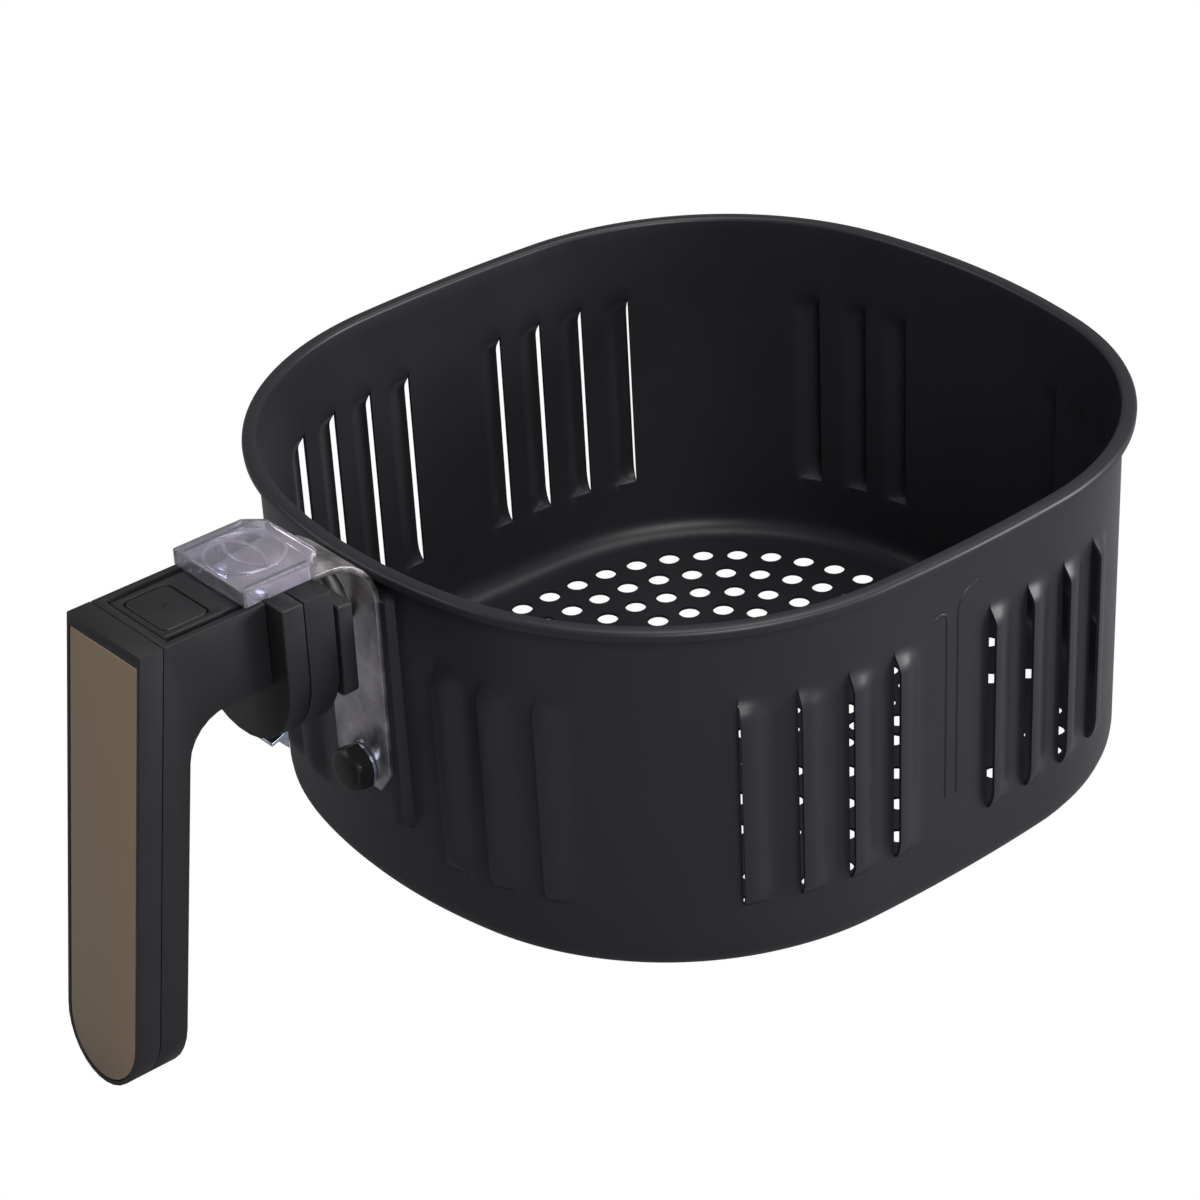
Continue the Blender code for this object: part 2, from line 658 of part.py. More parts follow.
def make_screws(steel, brass):
    for i, (x, y) in enumerate(strap_screw_places(), 1):
        make_screw(f"strap_screw_{i}", (x, y, STRAP_TOP + GAP), (0, 0, -1),
                   STRAP_SCREW_LENGTH, steel)
    for i, z in enumerate(GRIP_SCREW_HEIGHTS, 1):
        start, square = grip_screw_line(z)
        make_screw(f"grip_screw_{i}", start + square * (GRIP_DEPTH + GAP), -square,
                   GRIP_DEPTH + COVER_HOLLOW - GAP, steel)
    arm_seat = COLLAR_Y - 2 * GAP - ARM_WALL
    collar_seat = COLLAR_BACK - SCREW_HEAD_RISE - GAP
    for i, side in enumerate((1, -1), 1):
        make_screw(f"arm_screw_{i}", (side * ARM_SCREW_X, arm_seat, ARM_SCREW_Z), (0, 1, 0),
                   ARM_WALL + SCREW_DEPTH - GAP, steel)
        make_screw(f"collar_screw_{i}", (side * COLLAR_SCREW_X, collar_seat, COLLAR_SCREW_Z),
                   (0, -1, 0), collar_seat - COLLAR_SPLIT + SCREW_DEPTH - 2 * GAP, steel)
    high = CHANNEL_FLOOR - GAP
    low = high - INSERT_LENGTH
    for i, (x, y) in enumerate(strap_screw_places(), 1):
        bm = bmesh.new()
        add_cylinder(bm, (x, y, low), (x, y, high), INSERT_OUTER, 20)
        obj = add_object(f"screw_insert_{i}", bm, brass)
        boolean(obj, tool(f"insert_bore_{i}", lambda b: add_cylinder(
            b, (x, y, low - EASY), (x, y, high + EASY), SCREW_RADIUS + SCREW_CLEARANCE, 16)),
            "DIFFERENCE")


# ---------------------------------------------------------------- collar

def collar_outline(half):
    """Front view of the collar: flat top, straight sides and a round underside."""
    middle = HANDLE_TOP - half
    return front_outline(half, HANDLE_TOP, middle + half - COLLAR_HALF)


def cut_channel(obj, name, y0, y1):
    boolean(obj, tool(name, lambda b: add_box(
        b, (-CHANNEL_HALF, y0 - EASY, CHANNEL_FLOOR),
        (CHANNEL_HALF, y1 + EASY, HANDLE_TOP + EASY))), "DIFFERENCE")


def make_collar(mat):
    bm = bmesh.new()
    add_prism(bm, collar_outline(COLLAR_HALF), "Y", COLLAR_Y, COLLAR_SPLIT)
    front = add_object("collar_front", bm, mat)
    cut_channel(front, "collar_front_channel", COLLAR_Y, COLLAR_SPLIT)

    def front_holes(b):
        add_box(b, (-WINDOW_HALF, COLLAR_Y - EASY, WINDOW_LOW),
                (WINDOW_HALF, COLLAR_SPLIT + EASY, WINDOW_HIGH))
        insert_foot = CHANNEL_FLOOR - INSERT_LENGTH - 3 * GAP
        for x, y in strap_screw_places():
            add_cylinder(b, (x, y, insert_foot), (x, y, CHANNEL_FLOOR + EASY),
                         INSERT_OUTER + GAP, 20)
        for s in (1, -1):
            add_cylinder(b, (s * ARM_SCREW_X, COLLAR_Y - EASY, ARM_SCREW_Z),
                         (s * ARM_SCREW_X, COLLAR_Y + SCREW_DEPTH, ARM_SCREW_Z),
                         SCREW_RADIUS + SCREW_CLEARANCE, 16)
            add_cylinder(b, (s * COLLAR_SCREW_X, COLLAR_SPLIT - SCREW_DEPTH, COLLAR_SCREW_Z),
                         (s * COLLAR_SCREW_X, COLLAR_SPLIT + EASY, COLLAR_SCREW_Z),
                         SCREW_RADIUS + SCREW_CLEARANCE, 16)
    boolean(front, tool("collar_front_holes", front_holes), "DIFFERENCE")

    bm = bmesh.new()
    add_prism(bm, collar_outline(COLLAR_HALF), "Y", COLLAR_SPLIT + GAP, COLLAR_BACK)
    rear = add_object("collar_rear", bm, mat)
    cut_channel(rear, "collar_rear_channel", COLLAR_SPLIT, COLLAR_BACK)

    def rear_holes(b):
        add_box(b, (-POCKET_HALF, COLLAR_SPLIT - EASY, HANDLE_TOP - 3 * COLLAR_HALF),
                (POCKET_HALF, POCKET_BACK, POCKET_ROOF))
        for s in (1, -1):
            add_cylinder(b, (s * COLLAR_SCREW_X, COLLAR_SPLIT - EASY, COLLAR_SCREW_Z),
                         (s * COLLAR_SCREW_X, COLLAR_BACK + EASY, COLLAR_SCREW_Z),
                         SCREW_RADIUS + SCREW_CLEARANCE, 16)
    boolean(rear, tool("collar_rear_holes", rear_holes), "DIFFERENCE")

    def head_seats(b):
        for s in (1, -1):
            add_cylinder(b, (s * COLLAR_SCREW_X, COLLAR_BACK - SCREW_HEAD_RISE - 2 * GAP,
                             COLLAR_SCREW_Z),
                         (s * COLLAR_SCREW_X, COLLAR_BACK + EASY, COLLAR_SCREW_Z),
                         SCREW_HEAD_RADIUS + GAP, 16)
    boolean(rear, tool("collar_head_seats", head_seats), "DIFFERENCE")


def make_flange(mat):
    near = COLLAR_BACK + FLANGE_GAP
    far = near + FLANGE_THICK
    inner = FLANGE_HALF - FLANGE_CLIP
    outline = [(-inner, FLANGE_LOW), (inner, FLANGE_LOW),
               (FLANGE_HALF, FLANGE_LOW + FLANGE_CLIP), (FLANGE_HALF, FLANGE_HIGH),
               (-FLANGE_HALF, FLANGE_HIGH), (-FLANGE_HALF, FLANGE_LOW + FLANGE_CLIP)]
    bm = bmesh.new()
    add_prism(bm, outline, "Y", near, far)
    obj = add_object("hook_flange", bm, mat)
    boolean(obj, tool("flange_neck", lambda b: add_box(
        b, (-NECK_HALF, COLLAR_BACK + GAP, FLANGE_HIGH - NECK_HEIGHT),
        (NECK_HALF, near + FLANGE_THICK / 2, FLANGE_HIGH))), "UNION")


# ---------------------------------------------------------------- button, lever, latch

def make_deck(mat):
    bm = bmesh.new()
    under = HANDLE_TOP - DECK_THICK
    add_box(bm, (-DECK_HALF, DECK_FRONT, under), (DECK_HALF, DECK_BACK, HANDLE_TOP))
    obj = add_object("top_deck", bm, mat)
    y0, y1 = button_ends()

    def posts(b):
        for s in (1, -1):
            x0, x1 = sorted((s * (DECK_HALF - GAP), s * (BUTTON_HALF + 2 * GAP)))
            for y in (DECK_FRONT + 2 * GAP, DECK_BACK - POST_INSET):
                add_box(b, (x0, y, ARM_BOTTOM + ARM_FLOOR + GAP), (x1, y + POST_DEPTH, under + GAP))
    boolean(obj, tool("deck_posts", posts), "UNION")
    boolean(obj, tool("button_opening", lambda b: add_box(
        b, (-BUTTON_HALF - GAP, y0 - GAP, under - EASY),
        (BUTTON_HALF + GAP, y1 + GAP, HANDLE_TOP + EASY))), "DIFFERENCE")


def button_ends():
    return BUTTON_Y - BUTTON_LENGTH / 2, BUTTON_Y + BUTTON_LENGTH / 2


def make_button(mat):
    y0, y1 = button_ends()
    under = HANDLE_TOP - BUTTON_HEIGHT
    bm = bmesh.new()
    add_box(bm, (-BUTTON_HALF, y0, under), (BUTTON_HALF, y1, HANDLE_TOP))
    obj = add_object("release_button", bm, mat, (0, BUTTON_Y, HANDLE_TOP))
    boolean(obj, tool("button_stem", lambda b: add_cylinder(
        b, (0, STEM_Y, LEVER_HIGH + GAP), (0, STEM_Y, under + EASY), STEM_RADIUS, 16)), "UNION")


def make_lever(lever_mat, pin_mat):
    middle = (LEVER_LOW + LEVER_HIGH) / 2
    bm = bmesh.new()
    add_box(bm, (-LEVER_HALF, LEVER_FRONT, LEVER_LOW), (LEVER_HALF, LEVER_BACK, LEVER_HIGH))
    obj = add_object("release_lever", bm, lever_mat, (0, PIVOT_Y, middle))
    boolean(obj, tool("lever_hub", lambda b: add_cylinder(
        b, (-HUB_HALF, PIVOT_Y, middle), (HUB_HALF, PIVOT_Y, middle), HUB_RADIUS)), "UNION")
    boolean(obj, tool("lever_bore", lambda b: add_cylinder(
        b, (-HUB_HALF - EASY, PIVOT_Y, middle), (HUB_HALF + EASY, PIVOT_Y, middle),
        PIVOT_RADIUS + GAP)), "DIFFERENCE")
    reach = ARM_HALF - ARM_WALL - GAP
    bm = bmesh.new()
    add_cylinder(bm, (-reach, PIVOT_Y, middle), (reach, PIVOT_Y, middle), PIVOT_RADIUS, 16)
    add_object("lever_pin", bm, pin_mat, (0, PIVOT_Y, middle))


def make_latch(mat):
    near, far = LATCH_Y - LATCH_THICK / 2, LATCH_Y + LATCH_THICK / 2
    bm = bmesh.new()
    prong = PRONG_HIGH - LATCH_THICK
    side = [(near, LATCH_LOW + LATCH_THICK), (far, LATCH_LOW), (far, LATCH_HIGH),
            (near, LATCH_HIGH), (near, PRONG_HIGH), (near - PRONG_LENGTH, prong - GAP),
            (near - PRONG_LENGTH, prong - LATCH_THICK), (near, prong)]
    add_prism(bm, side, "X", -LATCH_HALF, LATCH_HALF)
    obj = add_object("latch_hook", bm, mat, (0, LATCH_Y, LATCH_HIGH))
    boolean(obj, tool("latch_eye", lambda b: add_box(
        b, (-LATCH_EYE_HALF, near - EASY, LEVER_LOW - 6 * GAP),
        (LATCH_EYE_HALF, far + EASY, LEVER_HIGH + GAP))), "DIFFERENCE")


def make_spring(name, x, y, low, high, radius, turns, mat):
    """A helix of round wire between two heights."""
    curve = bpy.data.curves.new(name, "CURVE")
    curve.dimensions = "3D"
    curve.bevel_depth = WIRE_RADIUS
    curve.bevel_resolution = 2
    curve.use_fill_caps = True
    line = curve.splines.new("POLY")
    steps = turns * 10
    line.points.add(steps)
    rise = high - low - 2 * WIRE_RADIUS
    for i in range(steps + 1):
        angle = 2 * math.pi * turns * i / steps
        line.points[i].co = (radius * math.cos(angle), radius * math.sin(angle),
                             WIRE_RADIUS + rise * i / steps, 1)
    curve.materials.append(mat)
    obj = bpy.data.objects.new(name, curve)
    obj.location = (x, y, low)
    parts.objects.link(obj)


def make_springs(mat):
    make_spring("button_spring", 0, BUTTON_SPRING_Y, ARM_BOTTOM + ARM_FLOOR + GAP,
                HANDLE_TOP - BUTTON_HEIGHT - GAP, BUTTON_SPRING_RADIUS,
                BUTTON_SPRING_TURNS, mat)
    make_spring("latch_spring", 0, LATCH_Y, LATCH_HIGH + GAP, POCKET_ROOF - GAP,
                LATCH_SPRING_RADIUS, LATCH_SPRING_TURNS, mat)


# ---------------------------------------------------------------- guard

def guard_outline(inset):
    half = GUARD_HALF - inset
    front, back = GUARD_FRONT + inset, GUARD_BACK - inset
    return [(-half, front), (half, front), (half, back - GUARD_CLIP),
            (half - GUARD_CLIP, back), (-half + GUARD_CLIP, back), (-half, back - GUARD_CLIP)]


def make_guard(mat):
    low = HANDLE_TOP + GAP
    bm = bmesh.new()
    add_prism(bm, guard_outline(0), "Z", low, GUARD_HIGH)
    obj = add_object("guard_slider", bm, mat, (0, (GUARD_FRONT + GUARD_BACK) / 2, HANDLE_TOP))
    boolean(obj, tool("guard_hollow", lambda b: add_prism(
        b, guard_outline(GUARD_SKIRT), "Z", low - EASY, GUARD_HIGH - GUARD_PLATE)),
        "DIFFERENCE")

    def legs(b):
        for s in (1, -1):
            x0, x1 = sorted((s * GUARD_LEG_IN, s * GUARD_LEG_OUT))
            add_box(b, (x0, GUARD_FRONT + GUARD_LEG_INSET, GUARD_LEG_LOW),
                    (x1, GUARD_BACK - GUARD_CLIP - 2 * GAP, GUARD_HIGH - GUARD_PLATE / 2))
    boolean(obj, tool("guard_legs", legs), "UNION")
    middle = (GUARD_FRONT + GUARD_BACK) / 2
    boolean(obj, tool("guard_ridge", lambda b: add_box(
        b, (-RIDGE_HALF, middle - RIDGE_WIDTH / 2, GUARD_HIGH - GUARD_PLATE / 2),
        (RIDGE_HALF, middle + RIDGE_WIDTH / 2, GUARD_HIGH + RIDGE_RISE))), "UNION")


# ---------------------------------------------------------------- assembly

def main():
    coated = material("black_coated_steel", (0.018, 0.017, 0.020), 0.42)
    bare = material("bare_steel", (0.42, 0.40, 0.38), 0.38, 1.0)
    zinc = material("zinc_plate", (0.55, 0.60, 0.66), 0.3, 1.0)
    brass = material("brass", (0.62, 0.45, 0.18), 0.35, 1.0)
    plastic = material("black_plastic", (0.022, 0.022, 0.024), 0.55)
    rubber = material("black_cap", (0.012, 0.012, 0.013), 0.45)
    bronze = material("bronze_insert", (0.13, 0.10, 0.068), 0.42, 0.4)
    clear = material("clear_plastic", (0.85, 0.84, 0.90), 0.08, 0.0, 0.35)
    make_basket(coated)
    make_strap(bare)
    make_bolt(zinc, zinc, rubber)
    make_handle_body(plastic)
    make_cover(plastic, bronze)
    make_collar(plastic)
    make_flange(plastic)
    make_screws(zinc, brass)
    make_deck(plastic)
    make_button(plastic)
    make_lever(plastic, zinc)
    make_latch(zinc)
    make_springs(zinc)
    make_guard(clear)


clear_scene()
parts = collection(COLLECTION)
cutters = collection("cutters")
main()
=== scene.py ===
"""Looks of an air fryer basket: its pressed shell, strap, moulded handle and clear guard."""
import math

import bmesh
import bpy
import numpy as np
from bpy.props import FloatProperty, FloatVectorProperty, IntProperty, PointerProperty
from mathutils import Matrix, Vector


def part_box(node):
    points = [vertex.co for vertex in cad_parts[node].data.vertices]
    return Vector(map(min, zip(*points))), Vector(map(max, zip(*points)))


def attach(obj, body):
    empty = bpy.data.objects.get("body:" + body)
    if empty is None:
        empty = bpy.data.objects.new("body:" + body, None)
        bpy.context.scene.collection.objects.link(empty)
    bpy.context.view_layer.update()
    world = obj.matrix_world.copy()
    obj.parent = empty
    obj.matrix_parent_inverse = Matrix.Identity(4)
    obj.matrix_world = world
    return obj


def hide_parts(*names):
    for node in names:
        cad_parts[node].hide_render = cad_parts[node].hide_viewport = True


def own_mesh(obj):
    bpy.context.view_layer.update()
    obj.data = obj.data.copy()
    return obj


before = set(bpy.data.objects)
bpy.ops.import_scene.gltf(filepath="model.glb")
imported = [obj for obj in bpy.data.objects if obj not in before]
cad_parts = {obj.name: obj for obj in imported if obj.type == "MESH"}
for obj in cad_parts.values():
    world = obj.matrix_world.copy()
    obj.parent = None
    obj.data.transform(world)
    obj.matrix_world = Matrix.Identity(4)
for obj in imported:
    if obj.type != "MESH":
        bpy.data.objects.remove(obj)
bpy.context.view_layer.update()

bl_info = {
    "name": "Air Fryer Basket",
    "version": (1, 0, 0),
    "blender": (4, 5, 0),
    "location": "3D View > Sidebar > Basket",
    "description": "Builds a perforated, louvred air fryer basket with its handle",
    "category": "Add Mesh",
}

SHELL_LOW, SHELL_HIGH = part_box("basket_shell")
GUARD_LOW, GUARD_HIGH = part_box("guard_slider")
BUTTON_LOW, BUTTON_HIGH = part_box("release_button")
DECK_LOW, DECK_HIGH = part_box("top_deck")
STRAP_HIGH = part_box("mounting_strap")[1]
NUT_LOW, NUT_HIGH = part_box("cap_nut")

RIM_REACH = 0.0035
SIDE_RADIUS = 0.498
FRONT_RADIUS = 0.168
BACK_RADIUS = 0.192
FRONT_CORNER = 0.084
BACK_CORNER = 0.080
HALF_WIDTH = SHELL_HIGH.x - RIM_REACH
FRONT_DEPTH = -SHELL_LOW.y - RIM_REACH
BACK_DEPTH = SHELL_HIGH.y - RIM_REACH
WALL_DRAFT = 0.0012
FLOOR_FILLET = 0.007
PAD_HALF = 0.0125
PAD_BOTTOM, PAD_TOP = 0.026, 0.096
PAD_SPREAD = 0.0010  # how far the pad's sloped edge starts beyond its flat
PAD_EDGE = 0.0022  # width of that edge
PAD_CLEARANCE = 0.0003  # between the pad and the strap
STRAP_SHEET = 0.0016
SIDE_LOUVRES = [0.0166 + 0.0142 * i for i in range(4)]
END_LOUVRES = [0.0305 + 0.0142 * i for i in range(3)]
COLUMN_STEP = 0.0021
HOOD_FOOT, HOOD_RUN = 1.4, 2.1  # a hood's slope: start and length, half widths
HOOD_COLUMNS = (-1.45, -1.0, -0.86, -0.66, -0.36, -0.06, 0.22, 0.55, 0.85, 1.0)
MOUTH_COLUMN = 1.4  # flat column beyond a louvre's mouth, half widths
PAD_COLUMNS = (0.0053, 0.0106, 0.0119, 0.0131, 0.0145)
HOOD_LOW_ROWS = (0, 0.07, 0.22, 0.45, 0.7, 1.0)  # parts of a hood's end
HOOD_HIGH_ROWS = (0, 0.25, 0.45, 0.65, 0.82, 1.0)
WALL_ROWS = (0.0125, 0.0165, 0.034, 0.042, 0.050, 0.058, 0.066, 0.0860, 0.0990)
END_GAP, ROW_GAP = 0.0008, 0.0003  # least gap at the wall's ends, and between rows
FLOOR_ROWS = 9
OUTER_ROW = 0.0864  # half width of the outermost row of holes


# -------- settings

def length(name, words, value):
    return FloatProperty(name=name, description=words, default=value, min=0.0001, max=0.5,
                         unit="LENGTH", subtype="DISTANCE", precision=5)


def colour(name, words, value):
    return FloatVectorProperty(name=name, description=words, default=from_hex(value), size=4,
                               min=0, max=1, subtype="COLOR")


def from_hex(value):
    """An sRGB hex colour as linear RGBA."""
    parts = [int(value[i:i + 2], 16) / 255 for i in (1, 3, 5)]
    return tuple(p / 12.92 if p <= 0.04045 else ((p + 0.055) / 1.055) ** 2.4
                 for p in parts) + (1.0,)


class BasketSizes(bpy.types.PropertyGroup):
    sheet: length("Sheet", "Thickness of the pressed steel", 0.0008)
    louvre_rise: length("Louvre rise", "How far a hood stands out of the wall", 0.0027)
    louvre_width: length("Louvre width", "Width of a hood", 0.0080)
    louvre_low: length("Louvre foot", "Height of a louvre's lower end", 0.0200)
    louvre_high: length("Louvre head", "Height of a louvre's upper end", 0.0815)
    louvre_end: length("Louvre end", "Length over which a hood's end closes", 0.0060)
    hole_diameter: length("Air hole", "Diameter of a floor hole", 0.0062)
    hole_pitch: length("Hole pitch", "Distance between holes in one row", 0.0103)
    row_pitch: length("Row pitch", "Distance between rows of holes", 0.0107)
    hole_sides: IntProperty(name="Hole sides", description="Sides of a floor hole",
                            default=20, min=8, max=48)


class FinishColours(bpy.types.PropertyGroup):
    coating: colour("Coating", "Non-stick coating of the basket", "#1d1c20")
    moulded: colour("Handle", "Moulded black plastic", "#111114")
    bronze: colour("Insert", "Bronze lacquer of the grip's insert", "#7e6e58")
    strap: colour("Strap", "Bare steel of the strap", "#b0acae")
    zinc: colour("Zinc", "Plating of the latch and screws", "#b9c4d6")


# -------- mesh helpers

CAD_WELD = 0.000005
SHEET_WELD = 0.00001
FLAT_ANGLE = math.radians(1.5)  # below this, faces become one


def finished(name, mesh, mat, body, slot, *nodes, angle=35):
    """Put a mesh in the scene as a piece that rides on a body and stands for CAD nodes."""
    mesh.materials.clear()
    mesh.materials.append(mat)
    mesh.shade_smooth()
    mesh.set_sharp_from_angle(angle=math.radians(angle))
    obj = bpy.data.objects.new(name, mesh)
    bpy.context.scene.collection.objects.link(obj)
    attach(obj, body)
    if nodes:
        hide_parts(*nodes)
    return obj


def mesh_of(bm, name):
    mesh = bpy.data.meshes.new(name)
    bm.to_mesh(mesh)
    bm.free()
    return mesh


def applied(name, mesh, build):
    """The mesh after the modifiers that build adds."""
    holder = bpy.data.objects.new(name, mesh)
    bpy.context.scene.collection.objects.link(holder)
    build(holder)
    bpy.context.view_layer.update()
    graph = bpy.context.evaluated_depsgraph_get()
    result = bpy.data.meshes.new_from_object(holder.evaluated_get(graph))
    bpy.data.objects.remove(holder)
    return result


def bevelled(obj, width, segments=2):
    edge = obj.modifiers.new("Bevel", "BEVEL")
    edge.width = width
    edge.segments = segments
    edge.limit_method = "ANGLE"
    edge.angle_limit = math.radians(30)
    edge.use_clamp_overlap = True


def softened(node, body, slot, mat, width):
    """A copy of a CAD node with its edges rounded as a mould or a press leaves them."""
    bm = bmesh.new()
    bm.from_mesh(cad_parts[node].data)
    bmesh.ops.remove_doubles(bm, verts=bm.verts, dist=CAD_WELD)
    bmesh.ops.dissolve_limit(bm, angle_limit=FLAT_ANGLE, verts=bm.verts,
                             edges=bm.edges)
    mesh = applied(node + "_soft", mesh_of(bm, node), lambda o: bevelled(o, width))
    return finished(node + "_moulded", mesh, mat, body, slot, node, angle=40)


def plate(outline, holes, low, high):
    """A flat plate with holes, closed on every side."""
    bm = bmesh.new()
    edges = []
    for loop in [outline] + holes:
        verts = [bm.verts.new((x, y, low)) for x, y in loop]
        edges += [bm.edges.new((verts[i], verts[(i + 1) % len(verts)]))
                  for i in range(len(verts))]
    made = bmesh.ops.triangle_fill(bm, use_beauty=True, use_dissolve=True, edges=edges)
    faces = [f for f in made["geom"] if isinstance(f, bmesh.types.BMFace)]
    pushed = bmesh.ops.extrude_face_region(bm, geom=faces, use_keep_orig=True)["geom"]
    top = [v for v in pushed if isinstance(v, bmesh.types.BMVert)]
    bmesh.ops.translate(bm, verts=top, vec=(0, 0, high - low))
    bmesh.ops.recalc_face_normals(bm, faces=bm.faces)
    return bm


def join_rings(bm, rings):
    """Faces between each ring of vertices and the next."""
    for lower, upper in zip(rings, rings[1:]):
        for k in range(len(lower)):
            j = (k + 1) % len(lower)
            bm.faces.new((lower[k], lower[j], upper[j], upper[k]))


def poly_curve(name, tracks, closed=True):
    """Curve data with a straight-sided line through each list of points."""
    data = bpy.data.curves.new(name, "CURVE")
    data.dimensions = "3D"
    for points in tracks:
        line = data.splines.new("POLY")
        line.points.add(len(points) - 1)
        for p, co in zip(line.points, points):
            p.co = (*co, 1)
        line.use_cyclic_u = closed
    return data


def rounded(x0, x1, y0, y1, radius, steps=6):
    """A rectangle with round corners, anticlockwise."""
    out = []
    for cx, cy, start in ((x1 - radius, y1 - radius, 0), (x0 + radius, y1 - radius, 90),
                          (x0 + radius, y0 + radius, 180), (x1 - radius, y0 + radius, 270)):
        for i in range(steps + 1):
            a = math.radians(start + 90 * i / steps)
            out.append((cx + radius * math.cos(a), cy + radius * math.sin(a)))
    return out


def smooth(t):
    t = min(1.0, max(0.0, t))
    return t * t * (3 - 2 * t)


# -------- plan of the basket

def corner_middle(depth, end_radius, corner):
    """Middle of the corner arc that touches a side arc and an end arc, x and y > 0."""
    side_x, side_reach = HALF_WIDTH - SIDE_RADIUS, SIDE_RADIUS - corner
    end_y, end_reach = depth - end_radius, end_radius - corner
    apart = math.hypot(side_x, end_y)
    along = (side_reach ** 2 - end_reach ** 2 + apart ** 2) / (2 * apart)
    across = math.sqrt(side_reach ** 2 - along ** 2)
    ux, uy = -side_x / apart, end_y / apart
    options = [(side_x + along * ux + s * across * uy, along * uy - s * across * ux)
               for s in (1, -1)]
    return max(options, key=sum)


def plan_arcs():
    """The plan's eight arcs, anticlockwise: (middle x, middle y, radius, start, end)."""
    bx, by = corner_middle(BACK_DEPTH, BACK_RADIUS, BACK_CORNER)
    fx, fy = corner_middle(FRONT_DEPTH, FRONT_RADIUS, FRONT_CORNER)
    side_x = HALF_WIDTH - SIDE_RADIUS
    back_side = math.atan2(by, bx - side_x)
    back_end = math.atan2(by - (BACK_DEPTH - BACK_RADIUS), bx)
    front_side = math.atan2(fy, fx - side_x)
    front_end = math.atan2(fy - (FRONT_DEPTH - FRONT_RADIUS), fx)
    half = math.pi
    return [
        (side_x, 0, SIDE_RADIUS, -front_side, back_side),
        (bx, by, BACK_CORNER, back_side, back_end),
        (0, BACK_DEPTH - BACK_RADIUS, BACK_RADIUS, back_end, half - back_end),
        (-bx, by, BACK_CORNER, half - back_end, half - back_side),
        (-side_x, 0, SIDE_RADIUS, half - back_side, half + front_side),
        (-fx, -fy, FRONT_CORNER, half + front_side, half + front_end),
        (0, FRONT_RADIUS - FRONT_DEPTH, FRONT_RADIUS, half + front_end, 2 * half - front_end),
        (fx, -fy, FRONT_CORNER, 2 * half - front_end, 2 * half - front_side)]


ARCS = plan_arcs()
ARC_LENGTHS = [r * (b - a) for _, _, r, a, b in ARCS]
ROUND = sum(ARC_LENGTHS)
PLAN_STEPS = 4000
FACING = 0.6  # least share of a wall's normal that faces its side


def plan_point(s):
    """Point and outward normal at a distance along the plan, anticlockwise."""
    s %= ROUND
    for (mx, my, radius, start, _), span in zip(ARCS, ARC_LENGTHS):
        if s <= span:
            angle = start + s / radius
            normal = Vector((math.cos(angle), math.sin(angle)))
            return Vector((mx, my)) + normal * radius, normal
        s -= span
    return plan_point(0)


def plan_distance(side, across):
    """Distance along the plan where the wall on side +X, -X, +Y or -Y crosses a line."""
    axis = 1 if side[1] == "X" else 0
    sign = 1 if side[0] == "+" else -1
    best = None
    for i in range(PLAN_STEPS):
        s = ROUND * i / PLAN_STEPS
        point, normal = plan_point(s)
        if normal[1 - axis] * sign > FACING:
            miss = abs(point[axis] - across)
            if best is None or miss < best[0]:
                best = (miss, s)
    return best[1]


def louvre_distances():
    """Distances along the plan of every louvre's middle."""
    out = []
    for sign in "+-":
        for half in (1, -1):
            out += [plan_distance(sign + "X", half * a) for a in SIDE_LOUVRES]
            out += [plan_distance(sign + "Y", half * a) for a in END_LOUVRES]
    return sorted(out)


# -------- materials

def add_node(tree, kind, settings=None, **inputs):
    """Add a node: settings are its properties, inputs are socket values or links."""
    node = tree.nodes.new(kind)
    for key, value in (settings or {}).items():
        setattr(node, key, value)
    for key, value in inputs.items():
        socket = node.inputs[int(key[1:])] if key[0] == "i" and key[1:].isdigit() \
            else node.inputs[key.replace("_", " ")]
        if isinstance(value, bpy.types.NodeSocket):
            tree.links.new(value, socket)
        else:
            socket.default_value = value
    return node


def surface(name, base, roughness, metallic=0.0, **extra):
    """A principled material. Returns it, its tree, its shader and the object coordinates."""
    mat = bpy.data.materials.new(name)
    mat.use_nodes = True
    tree = mat.node_tree
    tree.nodes.clear()
    shader = add_node(tree, "ShaderNodeBsdfPrincipled", Base_Color=base, Roughness=roughness,
                      Metallic=metallic, **extra)
    add_node(tree, "ShaderNodeOutputMaterial", Surface=shader.outputs[0])
    place = add_node(tree, "ShaderNodeTexCoord")
    return mat, tree, shader, place.outputs["Object"]


def varied(tree, shader, at, scale, base, other, low, high):
    """Mottle the colour and roughness with one noise."""
    noise = add_node(tree, "ShaderNodeTexNoise", Vector=at, Scale=scale, Detail=3.0)
    ramp = add_node(tree, "ShaderNodeMapRange", i0=noise.outputs["Fac"], i1=0.3, i2=0.7,
                    i3=low, i4=high)
    mix = add_node(tree, "ShaderNodeMix", {"data_type": "RGBA"}, i0=noise.outputs["Fac"],
                   i6=base, i7=other)
    tree.links.new(mix.outputs[2], shader.inputs["Base Color"])
    tree.links.new(ramp.outputs[0], shader.inputs["Roughness"])


def grain(tree, shader, at, scale, strength, depth=0.00005):
    """A fine bump."""
    noise = add_node(tree, "ShaderNodeTexNoise", Vector=at, Scale=scale, Detail=2.0)
    bump = add_node(tree, "ShaderNodeBump", Strength=strength, Distance=depth,
                    Height=noise.outputs["Fac"])
    tree.links.new(bump.outputs[0], shader.inputs["Normal"])


def shade(value, factor):
    return tuple(c * factor for c in value[:3]) + (1.0,)


def nonstick_coating(base):
    """PTFE non-stick, sprayed and baked on steel: satin, with a faint orange peel (2 mm)."""
    mat, tree, shader, at = surface("nonstick_coated_steel", base, 0.40, IOR=1.35)
    varied(tree, shader, at, 45, shade(base, 0.93), shade(base, 1.07), 0.37, 0.44)
    grain(tree, shader, at, 520, 0.10)
    return mat


